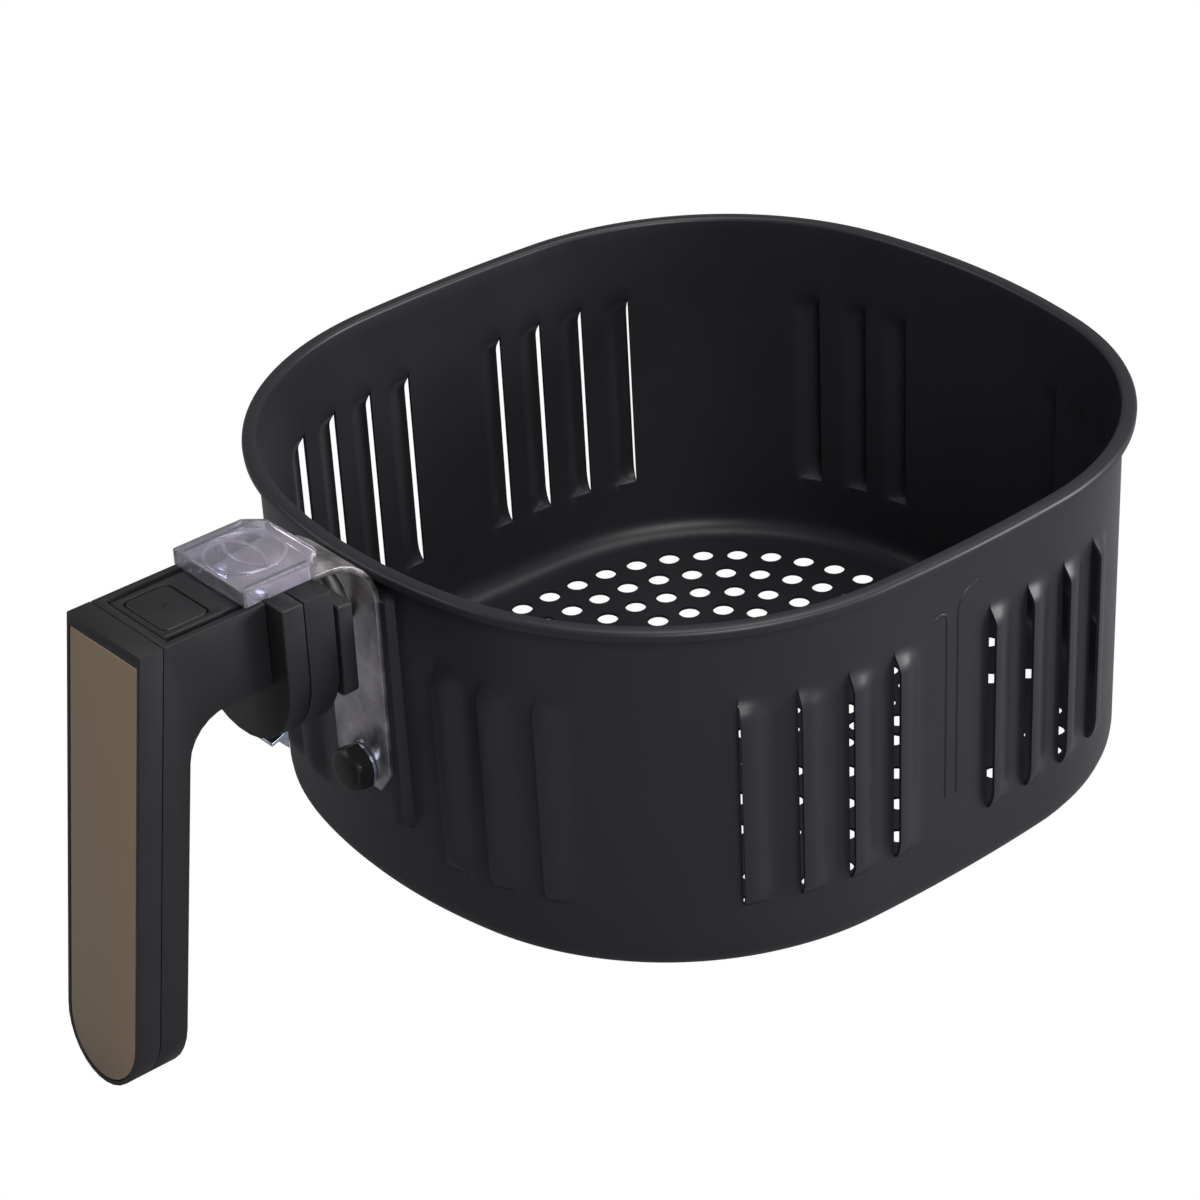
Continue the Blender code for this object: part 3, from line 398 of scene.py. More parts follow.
def moulded_abs(base):
    """ABS, injection moulded in a spark-eroded mould: even, matt, with 0.3 mm grain.

    Its refractive index is set to 1.40, below the real 1.53 or so, to keep it dark.
    """
    mat, tree, shader, at = surface("matt_abs", base, 0.50, IOR=1.40)
    varied(tree, shader, at, 90, shade(base, 0.95), shade(base, 1.05), 0.46, 0.55)
    grain(tree, shader, at, 3200, 0.22)
    return mat


def cap_plastic():
    """Nylon cap nut, moulded: darker and smoother than the handle.

    Its refractive index is set to 1.36, below the real 1.53 or so, to keep it dark.
    """
    mat, tree, shader, at = surface("nylon_cap", from_hex("#0d0d0e"), 0.44, IOR=1.36)
    grain(tree, shader, at, 1400, 0.12)
    return mat


def bronze_lacquer(base):
    """Metallic lacquer sprayed on a plastic plate: satin, with a speckle of flakes."""
    mat, tree, shader, at = surface("bronze_lacquer", base, 0.42, metallic=0.45)
    varied(tree, shader, at, 2400, shade(base, 0.88), shade(base, 1.10), 0.38, 0.47)
    grain(tree, shader, at, 2600, 0.12)
    return mat


def strap_steel(base):
    """Galvanised steel strip: dull, blotched by forming oil, with scratches along it."""
    mat, tree, shader, at = surface("galvanised_strip", base, 0.42, metallic=1.0)
    stretched = add_node(tree, "ShaderNodeMapping", Vector=at, Scale=(1.0, 1.0, 0.12))
    blots = add_node(tree, "ShaderNodeTexNoise", Vector=at, Scale=110.0, Detail=6.0,
                     Roughness=0.65)
    lines = add_node(tree, "ShaderNodeTexNoise", Vector=stretched.outputs[0], Scale=1500.0,
                     Detail=2.0)
    ramp = add_node(tree, "ShaderNodeMapRange", i0=blots.outputs["Fac"], i1=0.35, i2=0.65)
    mix = add_node(tree, "ShaderNodeMix", {"data_type": "RGBA"}, i0=ramp.outputs[0],
                   i6=shade(base, 0.50), i7=shade(base, 1.05))
    rough = add_node(tree, "ShaderNodeMapRange", i0=blots.outputs["Fac"], i1=0.3, i2=0.7,
                     i3=0.32, i4=0.52)
    bump = add_node(tree, "ShaderNodeBump", Strength=0.25, Distance=0.00004,
                    Height=lines.outputs["Fac"])
    tree.links.new(mix.outputs[2], shader.inputs["Base Color"])
    tree.links.new(rough.outputs[0], shader.inputs["Roughness"])
    tree.links.new(bump.outputs[0], shader.inputs["Normal"])
    return mat


def zinc_plate(base):
    """Bright zinc plating: bluish and fairly shiny, with a slight haze."""
    mat, tree, shader, at = surface("bright_zinc", base, 0.25, metallic=1.0)
    varied(tree, shader, at, 400, shade(base, 0.88), base, 0.20, 0.33)
    return mat


def turned_brass():
    """Turned brass: warm, with fine tool marks."""
    base = from_hex("#c9a24e")
    mat, tree, shader, at = surface("turned_brass", base, 0.28, metallic=1.0)
    varied(tree, shader, at, 500, shade(base, 0.85), base, 0.22, 0.36)
    return mat


def clear_polycarbonate():
    """Clear moulded polycarbonate: glossy, faintly lavender, slightly uneven.

    Its refractive index is set to 1.38, below the real 1.58 or so, for its brightness.
    """
    mat, tree, shader, at = surface("clear_polycarbonate", from_hex("#f3f0fa"), 0.05,
                                    IOR=1.38, Transmission_Weight=0.94)
    grain(tree, shader, at, 260, 0.08, 0.0001)
    return mat


# -------- geometry node trees

def new_tree(name, inputs):
    tree = bpy.data.node_groups.new(name, "GeometryNodeTree")
    face = tree.interface
    face.new_socket("Geometry", in_out="INPUT", socket_type="NodeSocketGeometry")
    for label, kind, value in inputs:
        socket = face.new_socket(label, in_out="INPUT", socket_type=kind)
        if value is not None:
            socket.default_value = value
    face.new_socket("Geometry", in_out="OUTPUT", socket_type="NodeSocketGeometry")
    return tree, tree.nodes.new("NodeGroupInput")


def end_tree(tree, geometry, material_socket):
    solid = add_node(tree, "GeometryNodeRealizeInstances", Geometry=geometry)
    painted = add_node(tree, "GeometryNodeSetMaterial", Geometry=solid.outputs[0],
                       Material=material_socket)
    add_node(tree, "NodeGroupOutput", Geometry=painted.outputs[0])


def grown(name, data, tree, **values):
    """The mesh that a tree makes from a mesh or curve."""
    def build(holder):
        mod = holder.modifiers.new(tree.name, "NODES")
        mod.node_group = tree
        for item in tree.interface.items_tree:
            key = item.name.replace(" ", "_")
            if item.in_out == "INPUT" and key in values:
                mod[item.identifier] = values[key]
    return applied(name, data, build)


def perforation_tree():
    """Punches a hole at each step along the row curves, in the plate that the outline bounds."""
    tree, start = new_tree("punched_floor", [
        ("Pitch", "NodeSocketFloat", 0.0103), ("Hole Radius", "NodeSocketFloat", 0.0031),
        ("Sides", "NodeSocketInt", 20), ("Finish", "NodeSocketMaterial", None)])
    inp = start.outputs
    number = add_node(tree, "GeometryNodeInputIndex")
    first = add_node(tree, "FunctionNodeCompare", {"data_type": "INT", "operation": "EQUAL"},
                     i2=number.outputs[0], i3=0)
    split = add_node(tree, "GeometryNodeSeparateGeometry", {"domain": "CURVE"},
                     Geometry=inp["Geometry"], Selection=first.outputs[0])
    steps = add_node(tree, "GeometryNodeResampleCurve", {"mode": "LENGTH"},
                     Curve=split.outputs[1], Length=inp["Pitch"])
    hole = add_node(tree, "GeometryNodeCurvePrimitiveCircle", Resolution=inp["Sides"],
                    Radius=inp["Hole Radius"])
    placed = add_node(tree, "GeometryNodeInstanceOnPoints", Points=steps.outputs[0],
                      Instance=hole.outputs[0])
    loops = add_node(tree, "GeometryNodeRealizeInstances", Geometry=placed.outputs[0])
    both = add_node(tree, "GeometryNodeJoinGeometry")
    tree.links.new(split.outputs[0], both.inputs[0])
    tree.links.new(loops.outputs[0], both.inputs[0])
    filled = add_node(tree, "GeometryNodeFillCurve", Curve=both.outputs[0])
    end_tree(tree, filled.outputs[0], inp["Finish"])
    return tree


def bead_tree():
    """A round bead that follows curves, for embossed lines."""
    tree, start = new_tree("embossed_line", [
        ("Radius", "NodeSocketFloat", 0.0005), ("Finish", "NodeSocketMaterial", None)])
    inp = start.outputs
    ring = add_node(tree, "GeometryNodeCurvePrimitiveCircle", Resolution=10,
                    Radius=inp["Radius"])
    tube = add_node(tree, "GeometryNodeCurveToMesh", Curve=inp["Geometry"],
                    Profile_Curve=ring.outputs[0], Fill_Caps=True)
    end_tree(tree, tube.outputs[0], inp["Finish"])
    return tree


HEAD_RADIUS, HEAD_RISE, SHANK_RADIUS = 0.0023, 0.0012, 0.00125
SLOT_LONG, SLOT_WIDE, SLOT_TOOL = 0.0026, 0.00055, 0.0014


def screw_tree():
    """A cross-slotted pan head and a shank at each point, turned to the point's aim."""
    tree, start = new_tree("pan_head_screws", [
        ("Head Radius", "NodeSocketFloat", HEAD_RADIUS),
        ("Head Rise", "NodeSocketFloat", HEAD_RISE),
        ("Shank Radius", "NodeSocketFloat", SHANK_RADIUS),
        ("Finish", "NodeSocketMaterial", None)])
    inp = start.outputs
    aim = add_node(tree, "GeometryNodeInputNamedAttribute", {"data_type": "FLOAT_VECTOR"},
                   Name="aim")
    reach = add_node(tree, "GeometryNodeInputNamedAttribute", {"data_type": "FLOAT"},
                     Name="reach")
    turn = add_node(tree, "FunctionNodeAlignRotationToVector", {"axis": "Z"},
                    Vector=aim.outputs[0])
    dome = add_node(tree, "GeometryNodeMeshUVSphere", Segments=24, Rings=12,
                    Radius=inp["Head Radius"])
    squash = add_node(tree, "ShaderNodeMath", {"operation": "DIVIDE"},
                      i0=inp["Head Rise"], i1=inp["Head Radius"])
    flat = add_node(tree, "ShaderNodeCombineXYZ", X=1.0, Y=1.0, Z=squash.outputs[0])
    head = add_node(tree, "GeometryNodeTransform", Geometry=dome.outputs[0],
                    Scale=flat.outputs[0])
    slots = add_node(tree, "GeometryNodeJoinGeometry")
    for size in ((SLOT_LONG, SLOT_WIDE, SLOT_TOOL), (SLOT_WIDE, SLOT_LONG, SLOT_TOOL)):
        bar = add_node(tree, "GeometryNodeMeshCube", Size=size)
        moved = add_node(tree, "GeometryNodeTransform", Geometry=bar.outputs[0],
                         Translation=(0, 0, HEAD_RISE))
        tree.links.new(moved.outputs[0], slots.inputs[0])
    cross = add_node(tree, "GeometryNodeMeshBoolean", {"operation": "DIFFERENCE"})
    tree.links.new(head.outputs[0], cross.inputs[0])
    tree.links.new(slots.outputs[0], cross.inputs[1])
    rod = add_node(tree, "GeometryNodeMeshCylinder", Vertices=16, Radius=inp["Shank Radius"],
                   Depth=1.0)
    hung = add_node(tree, "GeometryNodeTransform", Geometry=rod.outputs[0],
                    Translation=(0, 0, -0.5))
    heads = add_node(tree, "GeometryNodeInstanceOnPoints", Points=inp["Geometry"],
                     Instance=cross.outputs[0], Rotation=turn.outputs[0])
    stretch = add_node(tree, "ShaderNodeCombineXYZ", X=1.0, Y=1.0, Z=reach.outputs[0])
    rods = add_node(tree, "GeometryNodeInstanceOnPoints", Points=inp["Geometry"],
                    Instance=hung.outputs[0], Rotation=turn.outputs[0],
                    Scale=stretch.outputs[0])
    both = add_node(tree, "GeometryNodeJoinGeometry")
    tree.links.new(heads.outputs[0], both.inputs[0])
    tree.links.new(rods.outputs[0], both.inputs[0])
    end_tree(tree, both.outputs[0], inp["Finish"])
    return tree


# -------- basket

def fillet_section(sheet):
    """(offset from the outer wall, height) up the fillet between the floor and the wall."""
    bend = FLOOR_FILLET - sheet
    return [(-WALL_DRAFT - sheet - bend * (1 - math.sin(a)), sheet + bend * (1 - math.cos(a)))
            for a in (math.radians(15 * i) for i in range(7))]


def rim_section(sheet):
    """The rim: a crowned, nearly flat top that turns down into a hem."""
    top = SHELL_HIGH.z
    inner, outer, fall, hem = 0.0012, 0.0015, 0.0001, 0.0028
    section = [(-sheet + inner * (1 - math.cos(a)), top - inner * (1 - math.sin(a)))
               for a in (math.radians(22.5 * i) for i in range(5))]
    section += [(RIM_REACH - outer * (1 - math.sin(a)), top - outer * (1 - math.cos(a)) - fall)
                for a in (math.radians(18 * i) for i in range(1, 6))]
    section.append((RIM_REACH - fall, top - hem))
    return section


def wall_stations(sizes):
    """Columns round the wall: (distance, place across a louvre, raised).

    At a louvre's mouth a flat and a raised column share one place, and no face joins them.
    """
    half = sizes.louvre_width / 2
    stations = []
    for middle in louvre_distances():
        stations += [(middle - half * k, half * k, True) for k in HOOD_COLUMNS]
        stations += [(middle - half, half, False), (middle - MOUTH_COLUMN * half, half, False)]
    pad = plan_distance("-Y", 0)
    stations += [(pad + k, 0, False) for k in (0, *PAD_COLUMNS, *(-x for x in PAD_COLUMNS))]
    taken = sorted(s[0] % ROUND for s in stations)
    fill = []
    for here, there in zip(taken, taken[1:] + [taken[0] + ROUND]):
        count = int((there - here) / COLUMN_STEP)
        fill += [(here + (there - here) * i / (count + 1), 0, False)
                 for i in range(1, count + 1)]
    stations = [(s % ROUND, *rest) for s, *rest in stations + fill]
    return sorted(stations, key=lambda x: (round(x[0], 7), x[2]))


def hood_height(sizes, u, z):
    """How far a hood stands out at a place across it and a height."""
    half = sizes.louvre_width / 2
    rise = sizes.louvre_rise * smooth((u + HOOD_FOOT * half) / (HOOD_RUN * half))
    below, above = z - sizes.louvre_low, sizes.louvre_high - z
    inside = min(below, above) / sizes.louvre_end
    if inside <= 0:
        return 0.0
    if inside >= 1:
        return rise
    return rise * (smooth(inside) if above < below else math.sqrt(1 - (1 - inside) ** 2))


def pad_height(point, z):
    """How far the flat pad behind the strap stands out of the curved front wall."""
    edge = smooth((PAD_HALF + PAD_SPREAD - abs(point.x)) / PAD_EDGE)
    ends = smooth((z - PAD_BOTTOM) / PAD_EDGE) * smooth((PAD_TOP - z) / PAD_EDGE)
    face = -STRAP_HIGH.y - PAD_CLEARANCE
    return max(0.0, face - abs(point.y)) * edge * ends


def build_shell(sizes):
    """The inner skin of fillet, wall and rim, and the edge of the floor."""
    sheet = sizes.sheet
    fillet = fillet_section(sheet)
    rim = rim_section(sheet)
    wall_from, wall_to = fillet[-1][1], rim[0][1]
    low, high, end = sizes.louvre_low, sizes.louvre_high, sizes.louvre_end
    heights = [low + end * k for k in HOOD_LOW_ROWS] + [high - end * k for k in HOOD_HIGH_ROWS]
    heights += [PAD_BOTTOM, PAD_BOTTOM + PAD_EDGE / 2, PAD_BOTTOM + PAD_EDGE,
                PAD_TOP - PAD_EDGE, PAD_TOP - PAD_EDGE / 2, PAD_TOP, *WALL_ROWS]
    heights = sorted(h for h in heights if wall_from + END_GAP < h < wall_to - END_GAP)
    heights = [h for h, after in zip(heights, heights[1:] + [wall_to]) if after - h > ROW_GAP]
    rows = [("fillet", o, z) for o, z in fillet]
    for z in heights:
        part = (z - wall_from) / (wall_to - wall_from)
        rows.append(("wall", -sheet - WALL_DRAFT * (1 - part), z))
    rows += [("rim", o, z) for o, z in rim]
    bm = bmesh.new()
    columns = []
    for s, u, raised in wall_stations(sizes):
        point, normal = plan_point(s)
        column = []
        for kind, offset, z in rows:
            out = offset
            if kind == "wall" and raised:
                out += hood_height(sizes, u, z)
            if kind == "wall" and abs(point.x) < 0.02 and point.y < 0:
                out += pad_height(point + normal * offset, z)
            place = point + normal * out
            column.append(bm.verts.new((place.x, place.y, z)))
        columns.append((s, column))
    for (here, a), (there, b) in zip(columns, columns[1:] + columns[:1]):
        if abs(here - there) < 1e-7:
            continue
        for i in range(len(rows) - 1):
            bm.faces.new((a[i], a[i + 1], b[i + 1], b[i]))
    outline = [column[0].co.copy() for _, column in columns]
    bmesh.ops.remove_doubles(bm, verts=bm.verts, dist=SHEET_WELD)
    return bm, outline


def floor_rows(outline, sizes):
    """One curve for the floor's edge, which comes first, and one for each row of holes."""
    unique = [outline[0]]
    for co in outline[1:]:
        if (co - unique[-1]).length > SHEET_WELD:
            unique.append(co)
    tracks = [[(co.x, co.y, 0) for co in unique]]
    edge = HALF_WIDTH - OUTER_ROW
    around, tightest = 240, 0.002
    for row in range(FLOOR_ROWS):
        inset = edge + row * sizes.row_pitch
        points = []
        for i in range(around):
            point, normal = plan_point(ROUND * i / around)
            spot = point - normal * inset
            points.append((spot.x, spot.y, 0))
        if min(r for _, _, r, _, _ in ARCS) - inset < tightest:
            points = squeezed(inset)
        if points:
            tracks.append(points)
    return poly_curve("floor_rows", tracks)


def squeezed(inset):
    """An inner row, where the corner arcs have run out: an oval scaled from the plan."""
    half, depth = HALF_WIDTH - inset, (FRONT_DEPTH + BACK_DEPTH) / 2 - inset
    middle = (BACK_DEPTH - FRONT_DEPTH) / 2
    narrowest, around = 0.004, 120
    if half < narrowest:
        return []
    return [(half * math.cos(a), middle + depth * math.sin(a), 0)
            for a in (2 * math.pi * i / around for i in range(around))]


def build_floor(outline, sizes, mat):
    return grown("floor", floor_rows(outline, sizes), perforation_tree(),
                 Pitch=sizes.hole_pitch, Hole_Radius=sizes.hole_diameter / 2,
                 Sides=sizes.hole_sides, Finish=mat)


def make_basket(sizes, mat):
    """The drawn shell and its punched floor, thickened as one sheet."""
    bm, outline = build_shell(sizes)
    floor = build_floor(outline, sizes, mat)
    wall_faces = len(bm.faces)
    bm.from_mesh(floor)
    bm.faces.ensure_lookup_table()
    added = bm.faces[wall_faces:]
    bmesh.ops.translate(bm, verts=list({v for f in added for v in f.verts}),
                        vec=(0, 0, sizes.sheet))
    bm.normal_update()
    bmesh.ops.reverse_faces(bm, faces=[f for f in added if f.normal.z < 0])
    bmesh.ops.remove_doubles(bm, verts=bm.verts, dist=0.00003)

    def thicken(holder):
        wall = holder.modifiers.new("Sheet", "SOLIDIFY")
        wall.thickness = sizes.sheet
        wall.offset = -1
        wall.use_even_offset = True
    mesh = applied("basket", mesh_of(bm, "basket"), thicken)
    return finished("pressed_basket", mesh, mat, "basket", "black_coated_steel",
                    "basket_shell", angle=38)


MARK_FOOT, MARK_TOP = 0.030, 0.0830
MARK_RADIUS, MARK_SINK = 0.00058, 0.0003
MARK_LINES = ((-0.0025, 0.0023, -1, 150), (0.0014, 0.0075, 1, 85))


def make_fill_mark(mat):
    """Two upright embossed lines with curled tops; no lettering."""
    def on_wall(y, z):
        leaning = WALL_DRAFT * (1 - z / SHELL_HIGH.z)
        curve = SIDE_RADIUS - math.sqrt(SIDE_RADIUS ** 2 - y ** 2)
        return HALF_WIDTH - leaning - curve - MARK_SINK, y, z
    tracks = []
    for y, curl, side, turn in MARK_LINES:
        track = [(y, MARK_FOOT + (MARK_TOP - MARK_FOOT) * i / 12) for i in range(13)]
        track += [(y + side * curl * (1 - math.cos(a)), MARK_TOP + curl * math.sin(a))
                  for a in (math.radians(turn * i / 12) for i in range(1, 13))]
        tracks.append([on_wall(*spot) for spot in track])
    data = poly_curve("fill_lines", tracks, closed=False)
    mesh = grown("fill_lines", data, bead_tree(), Radius=MARK_RADIUS, Finish=mat)
    return finished("fill_mark", mesh, mat, "basket", "black_coated_steel", angle=60)


# -------- strap, nut, screws

def make_strap_gusset(mat):
    """The stiffening dart pressed into the inside of the strap's bend."""
    foot, reach, drop = 0.0850, 0.0110, 0.0014
    half, swell, blunt = 0.0030, 0.0022, 0.8
    steps, sides = 12, 20
    start = Vector((0, STRAP_HIGH.y - STRAP_SHEET, foot))
    end = Vector((0, STRAP_HIGH.y - reach, STRAP_HIGH.z - drop))
    along = (end - start).normalized()
    inward = Vector((0, along.z, -along.y)) * -1
    bm = bmesh.new()
    rings = []
    for i in range(steps + 1):
        t = i / steps
        thick = math.sin(math.pi * t) ** blunt
        middle = start.lerp(end, t)
        rings.append([bm.verts.new(middle + Vector((half * thick * math.cos(a), 0, 0))
                                   + inward * (swell * thick * math.sin(a)))
                      for a in (2 * math.pi * k / sides for k in range(sides))])
    join_rings(bm, rings)
    bmesh.ops.remove_doubles(bm, verts=bm.verts, dist=SHEET_WELD)
    bmesh.ops.recalc_face_normals(bm, faces=bm.faces)
    return finished("strap_gusset", mesh_of(bm, "strap_gusset"), mat, "basket", "bare_steel")


def make_cap_nut(mat):
    """A hexagon that runs into a round, slightly domed end face."""
    middle = (NUT_LOW + NUT_HIGH) / 2
    reach = NUT_HIGH.y - NUT_LOW.y
    half_flats, sides = 0.0058, 72
    # (part of the nut's length, largest radius there)
    profile = [(0.0, 0.0067), (0.08, 0.0069), (0.50, 0.0069), (0.62, 0.0066), (0.74, 0.0061),
               (0.84, 0.0055), (0.91, 0.0048), (0.96, 0.0038), (0.99, 0.0022)]
    bm = bmesh.new()
    rings = []
    for t, limit in profile:
        ring = []
        for k in range(sides):
            a = 2 * math.pi * k / sides
            turn = (a + math.pi / 6) % (math.pi / 3) - math.pi / 6
            r = min(half_flats / math.cos(turn), limit)
            ring.append(bm.verts.new((middle.x + r * math.cos(a), NUT_HIGH.y - t * reach,
                                      middle.z + r * math.sin(a))))
        rings.append(ring)
    join_rings(bm, rings)
    tip = bm.verts.new((middle.x, NUT_LOW.y, middle.z))
    for k in range(sides):
        bm.faces.new((rings[-1][k], rings[-1][(k + 1) % sides], tip))
    bm.faces.new(rings[0])
    bmesh.ops.recalc_face_normals(bm, faces=bm.faces)
    return finished("domed_cap_nut", mesh_of(bm, "nut"), mat, "basket", "black_cap",
                    "cap_nut", angle=28)


def screw_pose(node):
    """A screw's seat, aim and length, from the CAD solid: the head is its wider end."""
    co = np.array([v.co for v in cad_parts[node].data.vertices])
    middle = co.mean(0)
    axis = np.linalg.svd(co - middle)[2][0]
    along = (co - middle) @ axis
    radial = np.linalg.norm(co - middle - np.outer(along, axis), axis=1)
    if along[radial.argmax()] < 0:
        axis, along = -axis, -along
    head = Vector(middle + axis * along.max())
    reach = along.max() - along.min() - HEAD_RISE
    return head - Vector(axis) * HEAD_RISE, Vector(axis), reach


def make_screws(mat):
    """All eight screws as one piece."""
    nodes = [f"{kind}_screw_{i}" for kind in ("strap", "grip", "arm", "collar") for i in (1, 2)]
    poses = [screw_pose(n) for n in nodes]
    mesh = bpy.data.meshes.new("screw_points")
    mesh.from_pydata([p[0] for p in poses], [], [])
    mesh.attributes.new("aim", "FLOAT_VECTOR", "POINT")
    mesh.attributes.new("reach", "FLOAT", "POINT")
    for i, (_, axis, long) in enumerate(poses):
        mesh.attributes["aim"].data[i].vector = axis
        mesh.attributes["reach"].data[i].value = long
    made = grown("screws", mesh, screw_tree(), Finish=mat)
    return finished("pan_head_screws", made, mat, "basket", "zinc_plate", *nodes)


# -------- handle

BUTTON_TRAVEL, LATCH_TRAVEL = 0.0024, 0.0030


def make_springs(mat):
    """The return springs, each a copy of its CAD mesh as it stands."""
    for node, joint, travel, fixed in (
            ("button_spring", "button_press", BUTTON_TRAVEL, "low"),
            ("latch_spring", "latch_lift", LATCH_TRAVEL, "high")):
        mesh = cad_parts[node].data.copy()
        spring = finished(node + "_wire", mesh, mat, "basket", "zinc_plate", node, angle=60)
        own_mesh(spring)


def make_handle(mat, bronze):
    softened("handle_body", "basket", "black_plastic", mat, 0.0005)
    softened("grip_cover", "basket", "black_plastic", mat, 0.0005)
    softened("insert_plate", "basket", "bronze_insert", bronze, 0.0002)
    softened("collar_front", "basket", "black_plastic", mat, 0.0004)
    softened("collar_rear", "basket", "black_plastic", mat, 0.0003)
    softened("hook_flange", "basket", "black_plastic", mat, 0.0006)


def make_deck(mat):
    """The deck's plate, with the opening in which the button moves."""
    gap, hole_corner, corner, thick = 0.0004, 0.0024, 0.0006, 0.0023
    hole = rounded(BUTTON_LOW.x - gap, BUTTON_HIGH.x + gap, BUTTON_LOW.y - gap,
                   BUTTON_HIGH.y + gap, hole_corner)
    outline = rounded(DECK_LOW.x, DECK_HIGH.x, DECK_LOW.y, DECK_HIGH.y, corner, 2)
    bm = plate(outline, [hole], DECK_HIGH.z - thick, DECK_HIGH.z)
    mesh = applied("deck", mesh_of(bm, "deck"), lambda o: bevelled(o, 0.00022))
    return finished("top_deck_moulded", mesh, mat, "basket", "black_plastic", "top_deck")


def make_button(mat):
    """The button and the small triangle embossed on it."""
    corner, tall, mark_sink = 0.0021, 0.0070, 0.00005
    bm = plate(rounded(BUTTON_LOW.x, BUTTON_HIGH.x, BUTTON_LOW.y, BUTTON_HIGH.y, corner), [],
               BUTTON_HIGH.z - tall, BUTTON_HIGH.z)
    mesh = applied("button", mesh_of(bm, "button"), lambda o: bevelled(o, 0.0004, 3))
    finished("thumb_button", mesh, mat, "button", "black_plastic", "release_button")
    middle = (BUTTON_LOW + BUTTON_HIGH) / 2
    corners = [(middle.x + x, middle.y + y, BUTTON_HIGH.z - mark_sink)
               for x, y in ((-0.0017, 0.0012), (0.0017, 0.0012), (0, -0.0014))]
    data = poly_curve("press_mark", [corners])
    mark = grown("press_mark", data, bead_tree(), Radius=0.00022, Finish=mat)
    finished("press_mark", mark, mat, "button", "black_plastic")


GUARD_SINK = 0.0008  # of the flat top below the ridges
GUARD_WALL, GUARD_ROOF = 0.0012, 0.0014
LEG_IN, LEG_OUT = 0.0119, 0.0130


def guard_plan(inset, clip=0.0045):
    """The guard's outline: a rectangle with two corners cut off."""
    x, y0, y1 = GUARD_HIGH.x - inset, GUARD_LOW.y + inset, GUARD_HIGH.y - inset
    return [(-x, y0), (x, y0), (x, y1 - clip), (x - clip, y1), (-x + clip, y1), (-x, y1 - clip)]


def make_guard(mat):
    """The hollow guard, its notch and its two legs."""
    top = GUARD_HIGH.z - GUARD_SINK
    low = DECK_HIGH.z + 0.0003
    middle = Vector((0, (GUARD_LOW.y + GUARD_HIGH.y) / 2 - 0.0016, top))
    tools = []

    def solid(name, bm):
        obj = bpy.data.objects.new(name, mesh_of(bm, name))
        bpy.context.scene.collection.objects.link(obj)
        tools.append(obj)
        return obj

    def box(x0, x1, y0, y1, z0, z1):
        return plate([(x0, y0), (x1, y0), (x1, y1), (x0, y1)], [], z0, z1)
    hollow = solid("guard_hollow", plate(guard_plan(GUARD_WALL, 0.0040), [], low - 0.001,
                                         top - GUARD_ROOF))
    notch = solid("guard_notch", box(GUARD_HIGH.x - 0.002, GUARD_HIGH.x + 0.001,
                                     GUARD_LOW.y + 0.0045, GUARD_LOW.y + 0.0068,
                                     low - 0.001, low + 0.0016))
    legs = [solid("guard_leg", box(*sorted((s * LEG_IN, s * LEG_OUT)), GUARD_LOW.y + 0.0018,
                                   GUARD_HIGH.y - 0.0051, GUARD_LOW.z, top - 0.0007))
            for s in (1, -1)]

    def build(holder):
        bevelled(holder, 0.0006, 3)
        for obj, how in [(hollow, "DIFFERENCE"), (notch, "DIFFERENCE")] + \
                        [(leg, "UNION") for leg in legs]:
            mod = holder.modifiers.new(how, "BOOLEAN")
            mod.operation = how
            mod.solver = "EXACT"
            mod.object = obj
    mesh = applied("guard", mesh_of(plate(guard_plan(0), [], low, top), "guard"), build)
    for obj in tools:
        bpy.data.objects.remove(obj)
    finished("clear_guard", mesh, mat, "guard", "clear_plastic", "guard_slider", angle=30)
    make_guard_ridges(mat, middle)


def make_guard_ridges(mat, middle):
    """The ring and the leaf-shaped finger ridge moulded on the guard's top."""
    ring, half, swell, lift = 0.0102, 0.0098, 0.0034, 0.0001
    around, steps = 64, 24
    circle = [(ring * math.cos(a), ring * math.sin(a))
              for a in (2 * math.pi * i / around for i in range(around))]
    leaf = [(-half + 2 * half * i / steps, swell * math.sin(math.pi * i / steps))
            for i in range(steps + 1)]
    leaf += [(x, -y) for x, y in reversed(leaf[1:-1])]
    data = poly_curve("guard_ridges", [
        [(middle.x + x, middle.y + y, middle.z + lift) for x, y in track]
        for track in (circle, leaf)])
    mesh = grown("guard_ridges", data, bead_tree(), Radius=0.0005, Finish=mat)
    finished("guard_ridges", mesh, mat, "guard", "clear_plastic", angle=60)


# -------- stage

CAMERA_PLACE = Vector((0.7072, -0.6012, 0.5948))
CAMERA_TURN, CAMERA_RISE, CAMERA_ROLL = (math.radians(d) for d in (51.076, 30.614, -3.001))
CAMERA_LENS = 118.98
FLOOR_DROP = 0.0002  # of the floor below what rests on it
WORLD_LIGHT = 0.24
LIGHT_TARGET = Vector((0, 0, 0.05))
LIGHTS = (("key", (1.2, -0.4, 0.9), 0.8, 20), ("fill", (-0.9, -1.0, 0.8), 0.8, 6),
          ("top", (0.1, 0.3, 1.6), 1.2, 20), ("side", (1.0, 1.1, 0.45), 0.5, 22))


